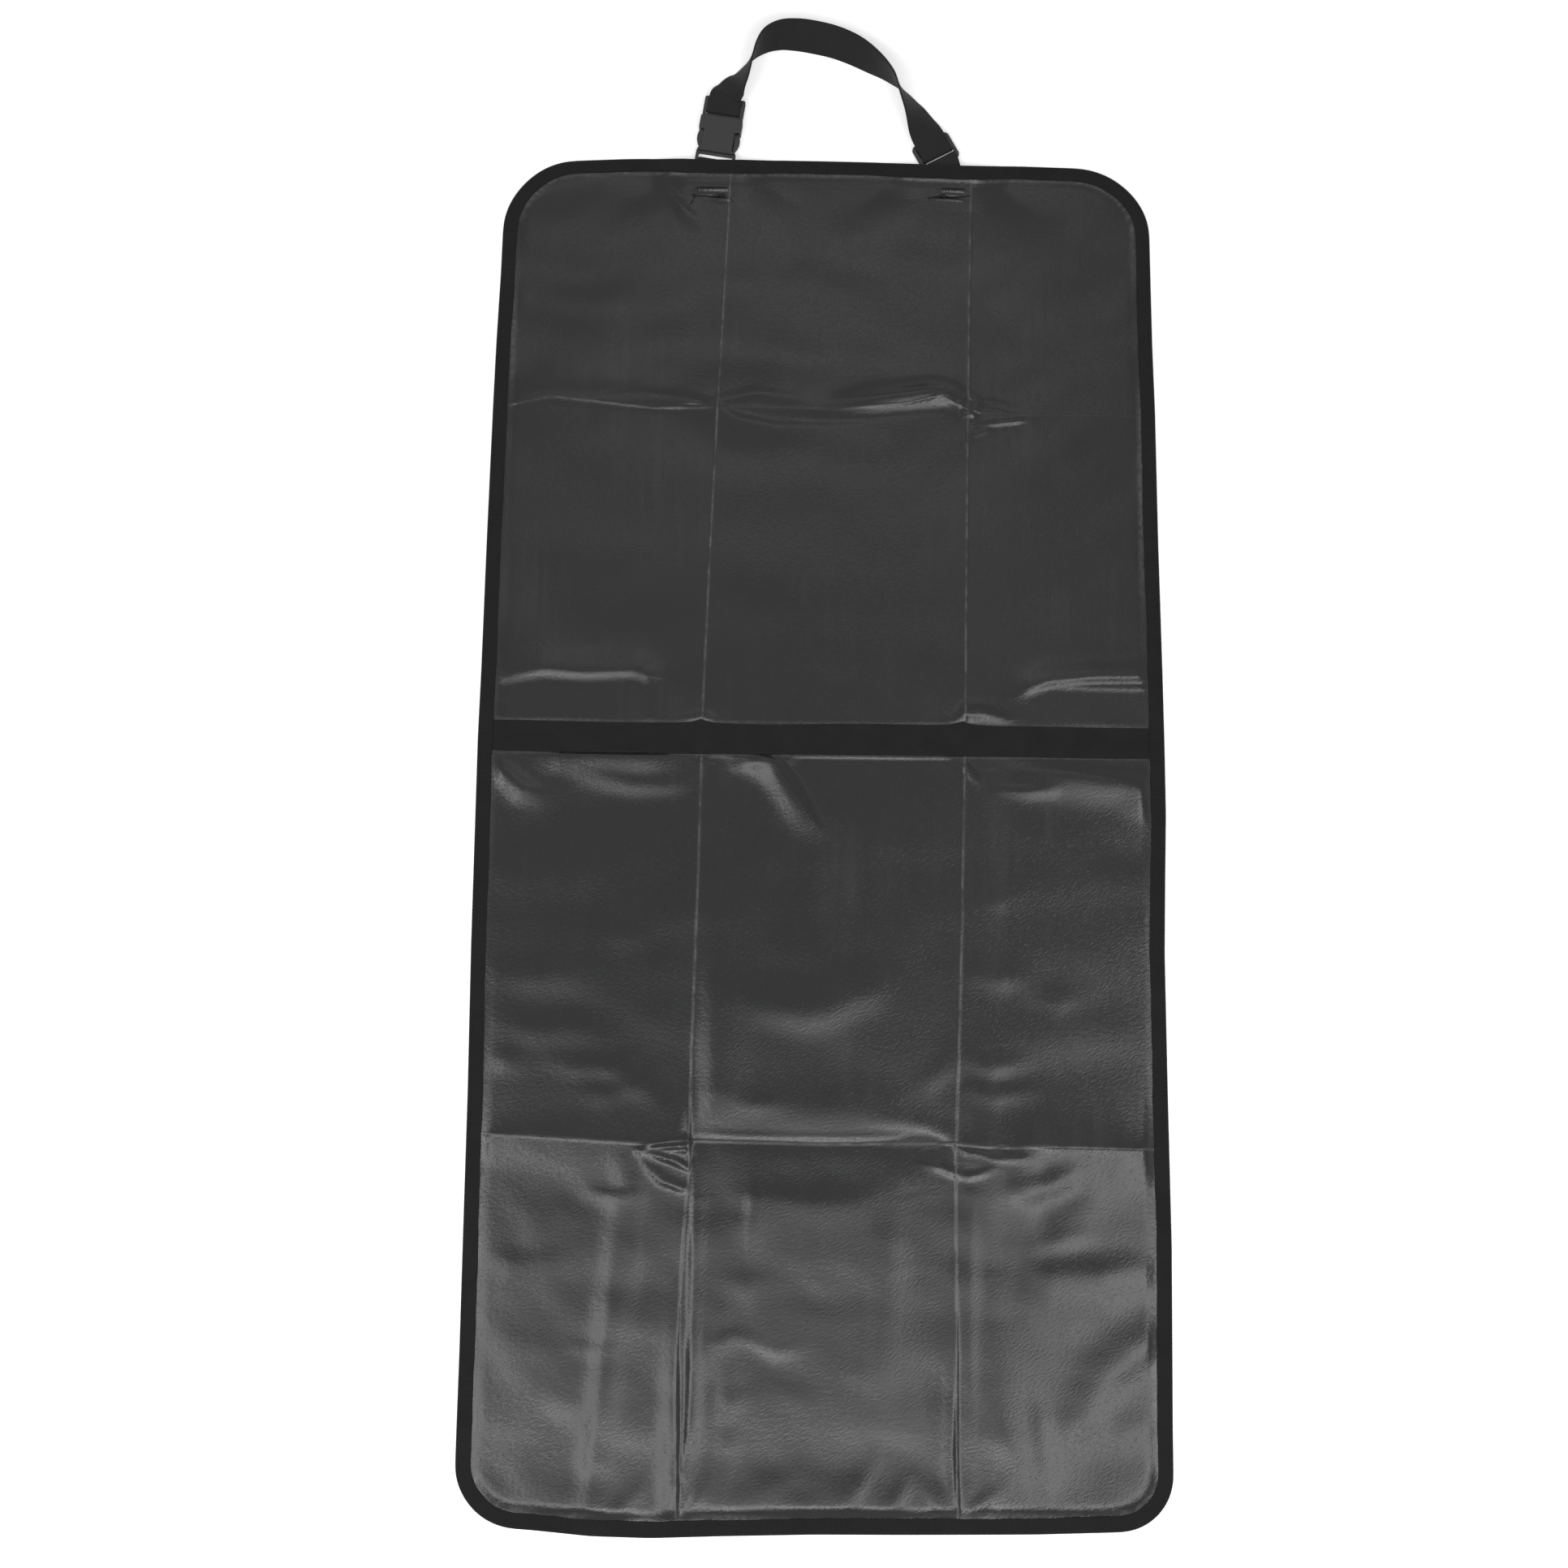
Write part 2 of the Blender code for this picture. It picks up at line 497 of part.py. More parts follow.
def band(collection):
    """The tape across the mat, over the line where the panels meet. Its ends go under the binding."""
    left = float(np.interp(SEAM_Y, SIDE_Y, LEFT_X)) + BAND_INSET
    right = float(np.interp(SEAM_Y, SIDE_Y, RIGHT_X)) - BAND_INSET
    close = 2 * LEG + BAND_INSET
    xs = np.concatenate([np.linspace(left, left + close, 7)[:-1], np.linspace(left + close, right - close, 27),
                         np.linspace(right - close, right, 7)[1:]])
    ys = np.linspace(BAND_LOW, BAND_HIGH, 5)
    points = np.array([(x, y) for x in xs for y in ys])
    low = np.maximum(sheet_low(points), 0.0) + SHEET + GAP
    grid = [[(x, y, low[i * len(ys) + j]) for j, y in enumerate(ys)] for i, x in enumerate(xs)]
    verts, faces = strip(grid, False)
    obj = add(collection, "centre_band", verts, [face[::-1] for face in faces], "binding")
    solidify(obj, TAPE, 1.0)
    return obj


def ribbon(collection, name, path, across, wide, thick, kind):
    """A webbing along a path, with the width direction given at each point: an open strip given its thickness."""
    path = np.asarray(path, float)
    across = np.asarray(across, float)
    ahead = np.gradient(path, axis=0)
    ahead /= np.linalg.norm(ahead, axis=1)[:, None]
    across = across - (across * ahead).sum(axis=1)[:, None] * ahead
    across /= np.linalg.norm(across, axis=1)[:, None]
    rows = [[tuple(p + a * side * wide / 2) for side in (-1.0, 1.0)] for p, a in zip(path, across)]
    verts, faces = strip(rows, False)
    obj = add(collection, name, verts, faces, kind)
    solidify(obj, thick, 0.0)
    return obj


def turned(turn, origin):
    """Returns a function that puts (across, along, z) of a tilted piece into the mat's axes."""
    angle = math.radians(turn)
    right = np.array([math.cos(angle), -math.sin(angle), 0.0])
    ahead = np.array([math.sin(angle), math.cos(angle), 0.0])
    base = np.array([origin[0], origin[1], 0.0])

    def place(across, along, z):
        return base + right * across + ahead * along + np.array([0.0, 0.0, z])

    place.right, place.ahead = right, ahead
    return place


def hook(bar_edge, side, low, high, slack):
    """Along and z of a webbing that turns round a bar's edge. side is -1 when it turns below the edge."""
    reach = GAP + slack + WEB / 2
    middle, tall = (low + high) / 2, (high - low) / 2
    return [(bar_edge - side * 1.5, low), (bar_edge + side * 0.1, low + 0.15),
            (bar_edge + side * (reach * 0.8), middle - tall * 0.62), (bar_edge + side * reach, middle),
            (bar_edge + side * (reach * 0.8), middle + tall * 0.62), (bar_edge + side * 0.1, high - 0.15),
            (bar_edge - side * 1.5, high)]


def smooth_path(points, step):
    """A curve through the points, evenly spaced."""
    points = np.asarray(points, float)
    lengths = np.linalg.norm(np.diff(points[:, :3], axis=0), axis=1)
    along = np.concatenate([[0.0], np.cumsum(lengths)])
    slope = np.gradient(points, along, axis=0)
    wanted = np.linspace(0.0, along[-1], max(3, int(along[-1] / step) + 1))
    made = []
    for s in wanted:
        i = min(max(int(np.searchsorted(along, s)) - 1, 0), len(points) - 2)
        h = along[i + 1] - along[i]
        t = (s - along[i]) / h
        made.append((2 * t ** 3 - 3 * t ** 2 + 1) * points[i] + (t ** 3 - 2 * t ** 2 + t) * h * slope[i]
                    + (-2 * t ** 3 + 3 * t ** 2) * points[i + 1] + (t ** 3 - t ** 2) * h * slope[i + 1])
    return np.array(made)


def tab(collection, name, place, bar_edge, bar_low, bar_high, sewn):
    """A webbing loop round a bar, with both layers sewn under the mat."""
    low, high = bar_low - GAP - TAB_SLACK - WEB / 2, bar_high + GAP + TAB_SLACK + WEB / 2
    rest_low, rest_high = WEB / 2, WEB / 2 + WEB + GAP
    turn = hook(bar_edge, 1, low, high, TAB_SLACK)
    sewn = np.array([sewn[0], sewn[1], 0.0])
    start = place(0.0, bar_edge - 5.5, 0.0)
    under, over = [], []
    for t in (0.0, 0.25, 0.5, 0.68, 0.85):
        spot = sewn + (start - sewn) * t
        rise = smooth((t - 0.38) / 0.62)
        under.append((*spot[:2], rest_low + (low - rest_low) * rise, t))
        over.append((*spot[:2], rest_high + (high - rest_high) * rise, t))
    loop = [(*place(0.0, along, z), 1.0) for along, z in turn]
    path = smooth_path(under + loop + over[::-1], 1.3)
    down = np.array([1.0, 0.0, 0.0])
    mix = smooth(path[:, 3])[:, None]
    across = down * (1 - mix) + place.right * mix
    return ribbon(collection, name, path[:, :3], across, WEB_WIDE, WEB, "webbing")


def handle(collection, plug, slider):
    """The handle: looped round the plug's middle bar and the slider's middle bar, twisted between them."""
    low, high = BAR_LOW - GAP - HANDLE_SLACK - WEB / 2, BAR_HIGH + GAP + HANDLE_SLACK + WEB / 2
    edge = PLUG_SLOTS[0][1]
    start, last = plug(0, PLUG_TOP + 0.2, high + GAP), slider(0, SLIDER_TALL + 0.5, 0)
    points = [(*plug(0, PLUG_TOP - 0.8, low), 0), (*plug(0, edge + 6.1, low), 0)]
    points += [(*plug(0, along, z), 0) for along, z in hook(edge, -1, low, high, HANDLE_SLACK)]
    points += [(*plug(0, edge + 5.6, high), 0), (*start, 0)]
    way = (last - start)[:2]
    off = np.array([-way[1], way[0]]) / np.linalg.norm(way)
    for share, rise, lean in HANDLE:
        x, y = start[:2] + way * share + off * rise
        z = max(WEB_WIDE / 2 * abs(math.sin(math.radians(lean))) + WEB / 2, high - HANDLE_REST)
        points.append((x, y, z + HANDLE_REST, lean))
    low, high = SLIDER_LOW - GAP - HANDLE_SLACK - WEB / 2, SLIDER_HIGH + GAP + HANDLE_SLACK + WEB / 2
    edge = MIDDLE_BAR[0]
    points += [(*slider(0, SLIDER_TALL + 0.5, high + GAP), 0), (*slider(0, edge + 8.1, high), 0)]
    points += [(*slider(0, along, z), 0) for along, z in hook(edge, -1, low, high, HANDLE_SLACK)[::-1]]
    points += [(*slider(0, edge + 6.6, low), 0), (*slider(0, SLIDER_TALL - 0.5, low), 0)]
    path = smooth_path(points, 1.7)
    leaning = path[:, 3] > 3.0
    inner = leaning & np.roll(leaning, 1) & np.roll(leaning, -1)
    path = np.array([p for i, p in enumerate(path) if i % 3 == 0 or not inner[i]])
    path[:, 3] = np.clip(path[:, 3], 0, 142)
    flat = path[:, :2].copy()
    # The heading in plan, held through each loop, where the path folds back on itself.
    ahead = np.gradient(flat, axis=0)
    travel = np.concatenate([[0.0], np.cumsum(np.linalg.norm(np.diff(path[:, :3], axis=0), axis=1))])
    out = [i for i in range(len(path)) if path[i, 3] > 3.0]
    first, last = out[0], out[-1]
    heading = np.unwrap(np.arctan2(ahead[first:last + 1, 1], ahead[first:last + 1, 0]))
    start = math.atan2(plug.ahead[1], plug.ahead[0])
    finish = math.atan2(-slider.ahead[1], -slider.ahead[0])
    blend_in = smooth((travel[first:last + 1] - travel[first]) / 16.0)
    blend_out = smooth((travel[last] - travel[first:last + 1]) / 14.0)
    heading = start * (1 - blend_in) + heading * blend_in
    heading = finish * (1 - blend_out) + heading * blend_out
    whole = np.concatenate([np.full(first, start), heading, np.full(len(path) - last - 1, finish)])
    lean = np.radians(path[:, 3])
    right = np.stack([np.sin(whole), -np.cos(whole), np.zeros(len(whole))], axis=1)
    across = right * np.cos(lean)[:, None] + np.array([0.0, 0.0, 1.0]) * np.sin(lean)[:, None]
    return ribbon(collection, "handle_strap", path[:, :3], across, WEB_WIDE, WEB, "webbing")


def plate(collection, name, plan, low, high, frame, chamfer=0.0, kind=None):
    """A plate with the given plan between two heights, its top and bottom edges bevelled."""
    curve = bpy.data.curves.new(name + "_outline", "CURVE")
    curve.dimensions = "2D"
    curve.fill_mode = "BOTH"
    curve.extrude = (high - low) / 2 * MM
    line = curve.splines.new("POLY")
    line.points.add(len(plan) - 1)
    for point, (x, y) in zip(line.points, plan):
        point.co = (x * MM, y * MM, 0.0, 1.0)
    line.use_cyclic_u = True
    drawn = bpy.data.objects.new(name + "_outline", curve)
    collection.objects.link(drawn)
    mesh = bpy.data.meshes.new_from_object(drawn.evaluated_get(bpy.context.evaluated_depsgraph_get()))
    bpy.data.objects.remove(drawn, do_unlink=True)
    work = bmesh.new()
    work.from_mesh(mesh)
    bmesh.ops.remove_doubles(work, verts=work.verts, dist=0.00001)
    bmesh.ops.dissolve_limit(work, angle_limit=0.005, verts=work.verts, edges=work.edges)
    bmesh.ops.recalc_face_normals(work, faces=work.faces)
    work.to_mesh(mesh)
    work.free()
    mesh.name = name
    obj = bpy.data.objects.new(name, mesh)
    obj.parent = frame
    obj.location = (0.0, 0.0, (low + high) / 2 * MM)
    if kind:
        mesh.materials.clear()
        mesh.materials.append(material(name + "_material", kind))
    collection.objects.link(obj)
    if chamfer > 0:
        step = obj.modifiers.new("edges", "BEVEL")
        step.width = chamfer * MM
        step.segments = 1
        step.limit_method = "ANGLE"
        step.angle_limit = math.radians(75.0)
    return obj


def mirrored(obj, bisect):
    """The other half, across the piece's own middle."""
    step = obj.modifiers.new("other_half", "MIRROR")
    step.use_axis = (True, False, False)
    step.use_bisect_axis = (bisect, False, False)
    step.merge_threshold = 0.00001


def rounded(x0, x1, y0, y1, radius, steps=4):
    """A rectangle with rounded corners."""
    points = []
    for cx, cy, start in ((x1 - radius, y0 + radius, -90), (x1 - radius, y1 - radius, 0),
                          (x0 + radius, y1 - radius, 90), (x0 + radius, y0 + radius, 180)):
        for i in range(steps + 1):
            angle = math.radians(start + 90.0 * i / steps)
            points.append((cx + radius * math.cos(angle), cy + radius * math.sin(angle)))
    return points


def boolean(obj, tool, operation):
    step = obj.modifiers.new(operation.lower() + "_" + tool.name, "BOOLEAN")
    step.operation = operation
    step.solver = "EXACT"
    step.object = tool


def socket(collection, cutters, frame):
    """The buckle's female half: mouth ring, waist between the two windows, and the slotted end."""
    waist_end = SLOT_TOP + 0.7
    half = [(-2.0, 0.0), (RING_HALF - 1.4, 0.0), (RING_HALF - 0.4, -0.5), (RING_HALF, -1.6),
            (RING_HALF, RING_END + 0.3), (RING_HALF - 0.5, RING_END), (WAIST_HALF + 0.5, RING_END - 0.4),
            (WAIST_HALF, RING_END - 1.2), (WAIST_HALF, WINDOW_END + 1.2), (WAIST_HALF + 0.6, WINDOW_END + 0.2),
            (FLANGE_HALF - 0.8, WINDOW_END), (FLANGE_HALF - 0.5, WINDOW_END - 1.0), (FLANGE_HALF - 1.6, waist_end),
            (-2.0, waist_end)]
    body = plate(collection, "buckle_socket", half, 0.0, BODY_HIGH, frame, 0.7, "plastic")
    mirrored(body, True)
    end = plate(cutters, "socket_end", rounded(-FLANGE_HALF, FLANGE_HALF, FLANGE_END, WINDOW_END + 0.05, 1.6),
                END_LOW, END_HIGH, frame, 0.5)
    boolean(body, end, "UNION")
    inner = NECK_HALF + CAVITY_EASE
    mouth = plate(cutters, "socket_mouth", rounded(-inner, inner, WINDOW_END + 0.8, 3.0, 0.6),
                  NECK_LOW - CAVITY_EASE - 0.1, NECK_HIGH + CAVITY_EASE + 0.1, frame)
    slot = plate(cutters, "socket_slot", rounded(-SLOT_HALF, SLOT_HALF, SLOT_LOW, SLOT_TOP, 0.7),
                 -3.0, BODY_HIGH + 3.0, frame)
    wide = SLOT_HALF + 0.2
    recess = rounded(-wide, wide, FLANGE_END - 3.0, SLOT_LOW + 0.8, 0.3)
    thin_top = plate(cutters, "socket_bar_top", recess, BAR_HIGH, BODY_HIGH + 3.0, frame)
    thin_low = plate(cutters, "socket_bar_low", recess, -3.0, BAR_LOW, frame)
    for tool in (mouth, slot, thin_top, thin_low):
        boolean(body, tool, "DIFFERENCE")
    return body


def plug(collection, cutters, frame):
    """The buckle's male half: ladder with three bars, neck, guide and two sprung prongs, all in one."""
    top = rounded(-PLUG_HALF, PLUG_HALF, PLUG_START, PLUG_TOP, 1.8)
    body = plate(collection, "buckle_plug", top, PLUG_LOW, PLUG_HIGH, frame, 0.5, "plastic")
    neck = plate(cutters, "plug_neck", rounded(-NECK_HALF, NECK_HALF, -2.2, PLUG_START + 0.8, 0.3),
                 NECK_LOW, NECK_HIGH, frame)
    guide = plate(cutters, "plug_guide", ((-GUIDE_HALF, -1.5), (-GUIDE_HALF + 0.3, GUIDE_END + 1.5),
                                          (-GUIDE_HALF + 1.3, GUIDE_END), (GUIDE_HALF - 1.3, GUIDE_END),
                                          (GUIDE_HALF - 0.3, GUIDE_END + 1.5), (GUIDE_HALF, -1.5)),
                  BAR_LOW, BAR_HIGH, frame, 0.3)
    root, tip, outer = RING_END, WINDOW_END, RING_HALF
    prong = ((NECK_HALF - 3.4, -1.2), (NECK_HALF - 0.1, -1.2), (NECK_HALF + 0.1, root - 0.3),
             (outer - 1.3, root - 0.7), (outer - 0.2, root - 2.4), (outer + 0.25, root - 5.2),
             (outer + 0.2, tip + 7.8), (outer - 0.7, tip + 4.8), (outer - 2.0, tip + 2.4), (outer - 3.3, tip + 1.3),
             (outer - 4.3, tip + 1.8), (outer - 4.0, tip + 5.5), (outer - 4.3, tip + 10.5), (10.4, root),
             (9.6, root + 5.0))
    prongs = plate(cutters, "plug_prongs", prong, PRONG_LOW, PRONG_HIGH, frame, 0.3)
    mirrored(prongs, False)
    for tool in (neck, guide, prongs):
        boolean(body, tool, "UNION")
    for name, (y0, y1) in zip(("plug_slot_inner", "plug_slot_outer"), PLUG_SLOTS):
        hole = plate(cutters, name, rounded(-SLOT_HALF, SLOT_HALF, y0, y1, 0.6), -3.0, BODY_HIGH + 3.0, frame)
        boolean(body, hole, "DIFFERENCE")
    wide = SLOT_HALF + 0.2
    recess = rounded(-wide, wide, PLUG_SLOTS[0][1] - 1.4, PLUG_TOP + 4.0, 0.3)
    for name, z0, z1 in (("plug_bars_top", BAR_HIGH, BODY_HIGH + 3.0), ("plug_bars_low", -3.0, BAR_LOW)):
        boolean(body, plate(cutters, name, recess, z0, z1, frame), "DIFFERENCE")
    return body


def slider(collection, cutters, frame):
    """The handle's flat three-bar slider."""
    plan = rounded(-SLIDER_HALF, SLIDER_HALF, -SLIDER_TALL, SLIDER_TALL, 3.6, 6)
    body = plate(collection, "strap_slider", plan, SLIDER_LOW, SLIDER_HIGH, frame, 0.6, "plastic")
    for name, y0, y1 in (("slider_slot_low", LOW_BAR - SLIDER_TALL, MIDDLE_BAR[0]),
                         ("slider_slot_high", MIDDLE_BAR[1], SLIDER_TALL - HIGH_BAR)):
        hole = plate(cutters, name, rounded(-SLOT_HALF, SLOT_HALF, y0, y1, 0.8), -3.0, SLIDER_HIGH + 3.0, frame)
        boolean(body, hole, "DIFFERENCE")
    return body


def frame_at(collection, name, origin, turn):
    """An empty at a piece's origin, turned from +Y towards +X."""
    empty = bpy.data.objects.new(name, None)
    empty.location = (origin[0] * MM, origin[1] * MM, 0.0)
    empty.rotation_euler = (0.0, 0.0, -math.radians(turn))
    collection.objects.link(empty)
    return empty


def main():
    for obj in list(bpy.data.objects):
        bpy.data.objects.remove(obj, do_unlink=True)
    scene = bpy.context.scene
    made = bpy.data.collections.new("pet_car_seat_cover")
    cutters = bpy.data.collections.new("cutters")
    scene.collection.children.link(made)
    scene.collection.children.link(cutters)
    panel(made, "backrest_panel", True)
    panel(made, "seat_panel", False)
    band(made)
    binding(made)
    buckle_frame = frame_at(made, "buckle_frame", MOUTH, BUCKLE_TURN)
    slider_frame = frame_at(made, "slider_frame", SLIDER, SLIDER_TURN)
    socket(made, cutters, buckle_frame)
    plug(made, cutters, buckle_frame)
    slider(made, cutters, slider_frame)
    buckle = turned(BUCKLE_TURN, MOUTH)
    ring = turned(SLIDER_TURN, SLIDER)
    tab(made, "socket_tab", buckle, SLOT_LOW, BAR_LOW, BAR_HIGH, SOCKET_SEWN_AT)
    tab(made, "slider_tab", ring, LOW_BAR - SLIDER_TALL, SLIDER_LOW, SLIDER_HIGH, SLIDER_SEWN_AT)
    handle(made, buckle, ring)
    for tool in cutters.objects:
        tool.hide_render = True
        tool.display_type = "WIRE"


main()
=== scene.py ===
"""Looks of the pet car seat cover: coated mat in two panels, ribbed binding and band, webbing handle.

The mat lies on the floor and is seen from above. Lengths are in millimetres until a mesh is made.
"""
import math

import bpy
import numpy as np
from mathutils import Matrix, Vector

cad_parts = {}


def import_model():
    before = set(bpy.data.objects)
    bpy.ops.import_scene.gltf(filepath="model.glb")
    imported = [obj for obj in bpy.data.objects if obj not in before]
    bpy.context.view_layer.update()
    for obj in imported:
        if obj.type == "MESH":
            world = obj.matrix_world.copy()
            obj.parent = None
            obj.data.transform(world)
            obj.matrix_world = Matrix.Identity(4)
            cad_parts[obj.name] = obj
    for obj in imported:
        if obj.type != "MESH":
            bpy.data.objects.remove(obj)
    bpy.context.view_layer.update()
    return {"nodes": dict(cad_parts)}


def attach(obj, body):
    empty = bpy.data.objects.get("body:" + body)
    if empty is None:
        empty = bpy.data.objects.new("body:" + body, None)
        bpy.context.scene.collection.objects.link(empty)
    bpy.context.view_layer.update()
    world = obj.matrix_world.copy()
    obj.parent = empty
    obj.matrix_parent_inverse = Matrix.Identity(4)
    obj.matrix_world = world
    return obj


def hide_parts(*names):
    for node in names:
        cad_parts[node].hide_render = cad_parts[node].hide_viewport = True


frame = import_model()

MM = 0.001

# Sheet, tapes and webbing, as in the solids
SHEET = 0.8
TAPE = 0.6
LEG = 10.5
SHEET_INSET = 1.5
SEAM_Y = 51.0
SEAM_GAP = 0.4
BAND_LOW, BAND_HIGH = 40.0, 62.0
BAND_INSET = 3.4
WEB = 1.3
WEB_WIDE = 24.6
GAP = 0.3

# Outline of the mat: half-widths at heights, and the top and bottom edges, with corner radii
SIDE_Y = (-500, -425, -375, -300, -200, -100, -50, 0, 50, 100, 200, 300, 350, 400, 500)
LEFT_X = (-242.6, -242.7, -242.6, -243, -243.4, -244.7, -244.9, -245.1, -245.3, -244.6, -244, -243,
          -242.2, -240.8, -239.5)
RIGHT_X = (242, 242.3, 243, 244, 243.3, 243, 244.3, 245.8, 245.7, 245.3, 244, 243.5, 242.4, 242, 241.5)
END_X = (-245, -190, -150, -110, -60, 0, 60, 110, 150, 190, 245)
TOP_Y = (489.5, 491.8, 493.8, 494.6, 494.2, 493.8, 493, 491.8, 491.4, 490.4, 488.5)
BOTTOM_Y = (-490, -493, -496.6, -497.4, -495.6, -494, -493.6, -493, -492.4, -491, -489)
CORNERS = {"top": 54.0, "bottom_left": 40.0, "bottom_right": 36.0}
BOX = {"left": -241.5, "right": 241.5, "top": 490.5, "low_left": -492.5, "low_right": -490.5}

# Buckle and slider, as in the solids: places, turns in degrees, and bottoms and tops of their bars
MOUTH = (-78.1, 525.4)
BUCKLE_TURN = 8.6
SLOT_LOW = -35.0
PLUG_BAR = 4.4
BUCKLE_LOW, BUCKLE_HIGH = 3.2, 6.2
SLIDER = (82.3, 500.9)
SLIDER_TURN = -28.7
SLIDER_LOW, SLIDER_HIGH = 2.2, 5.2
BARS = ((-11.3, -7.4), (-2.6, 0.4), (8.3, 11.3))
# The handle between buckle and slider: x and y, and how far it leans over, in degrees
HANDLE = ((-71.2, 548.2, 22), (-65.0, 556.0, 50), (-58.0, 569.0, 74), (-52.0, 579.0, 92), (-44.5, 586.6, 110),
          (-35.0, 590.9, 124), (-22.0, 592.0, 136), (-8.0, 590.2, 140), (6.0, 586.3, 136), (20.0, 579.8, 128),
          (33.0, 571.0, 114), (43.5, 562.6, 98), (50.5, 555.4, 86), (57.5, 545.6, 66), (64.0, 535.0, 50),
          (70.0, 524.5, 28))
# Where the two tabs are sewn, and how loosely webbing goes round a bar
SOCKET_TAB_END = (-84.5, 463.0)
SLIDER_TAB_END = (91.5, 463.5)
TAB_SLACK = 0.15
HANDLE_SLACK = 0.2
# Where the mat rides over the tabs: middle across, sewn line and full lift of each, spread and fade
TABS = ((-83.9, 463.0, 8.4), (88.7, 463.5, 7.7))
LIFT_HALF, LIFT_FADE = 18.2, 30.0
# The lift along a tab, from its sewn line: distances, and heights up to that of the bar
LIFT_AT = (-1, 8, 13, 17, 21, 137)
LIFT_HIGH = (3.5, 4.1, 4.9, 6.4)
TOP_PULL = 4.0

# Folds of the sheet from packing: x and y along each, and the height of its fine crest
FOLD_LEFT_UP = ((-71, 483, 0.16), (-74, 400, 0.20), (-78, 298, 0.22), (-82, 180, 0.18), (-84.5, 85, 0.20),
                (-85, 60, 0.5))
FOLD_LEFT_LOW = ((-85, 41, 0.4), (-85.3, 20, 0.20), (-86, -50, 0.18), (-87.5, -150, 0.18), (-89, -233, 0.35),
                 (-88.5, -250, 0.35), (-91, -290, 0.3), (-94, -350, 0.3), (-95, -400, 0.35),
                 (-93.5, -440, 0.35),
                 (-93, -486, 0.3))
FOLD_RIGHT_UP = ((108.5, 482, 0.16), (106, 300, 0.24), (104.5, 190, 0.18), (103.5, 85, 0.18), (103, 60, 0.5))
FOLD_RIGHT_LOW = ((103, 41, 0.4), (102, 0, 0.18), (99.5, -115, 0.18), (96, -235, 0.35), (95.5, -300, 0.25),
                  (96, -400, 0.25), (96.5, -486, 0.3))
FOLD_ACROSS_UP = ((-234, 298, 0.16), (-200, 306, 0.16), (-125, 298, 0.15), (-78, 298.5, 0.2), (0, 298, 0.1),
                  (60, 302, 0.2), (85, 308, 0.3), (104, 300, 0.35), (120, 296, 0.15), (234, 295.5, 0.12))
FOLD_ACROSS_LOW = ((-234, -230, 0.25), (-120, -236, 0.25), (-89, -233.5, 0.35), (0, -235, 0.2),
(60, -234, 0.25),
                   (96, -233.5, 0.4), (125, -236, 0.25), (160, -235, 0.25), (236, -236, 0.3))

# How white the coating is worn along each fold
WEAR = ((FOLD_LEFT_UP, 0.8), (FOLD_LEFT_LOW, 0.8), (FOLD_RIGHT_UP, 0.8), (FOLD_RIGHT_LOW, 0.8),
        (FOLD_ACROSS_UP, 0.16), (FOLD_ACROSS_LOW, 0.7))

# The panels' grids: ends across and along, places of the folds, and the steps near to a fold and far from it.
# A zone with finer steps: its middle along the mat, its half-length and the step.
GRID_X = (-246.0, 247.0)
FOLDS_X = (-85.0, 103.0)
GRID_LOW, GRID_HIGH = -499.0, 496.0
FOLD_ROW_UP, FOLD_ROW_LOW = 300.0, -235.0
FINE, COARSE = 0.5, 3.1
ZONES_UP = ((98.0, 9.0, 1.3), (467.0, 7.0, 0.55), (66.0, 4.0, 1.6), (301.0, 10.0, 0.8))
ZONES_LOW = ((-250.0, 18.0, 1.5), (37.0, 3.0, 0.7))

# The lower fold across: a roof at both sides and a hollow in its middle third.
# Each pair is a place on the mat and the width of a soft step there.
MIDDLE_FROM, MIDDLE_TO = (-97.0, 14.0), (124.0, 42.0)
SHELF_TO = (160.0, 26.0)
ROOF_HIGH, ROOF_MORE, ROOF_RIGHT = 2.8, 2.4, (130.0, 34.0)
ROOF_ENDS, ROOF_ENDS_LOWER = (205.0, 28.0), 0.45
ROOF_BELOW, ROOF_ABOVE = 24.0, 22.0
HOLLOW_DEEP, HOLLOW_BELOW = 1.5, 10.0
HOLLOW_ABOVE, HOLLOW_MORE, HOLLOW_RIGHT = 18.0, 44.0, (48.0, 46.0)
SHELF_REACH = 46.0
# The upper fold across: height, and reach below and above it
STEP_HIGH, STEP_BELOW, STEP_ABOVE = 0.5, 14.0, 26.0
# The lines of all folds: half-width of their crest, and of the whitened wear
CREST = 0.7
WORN_HALF = 0.55

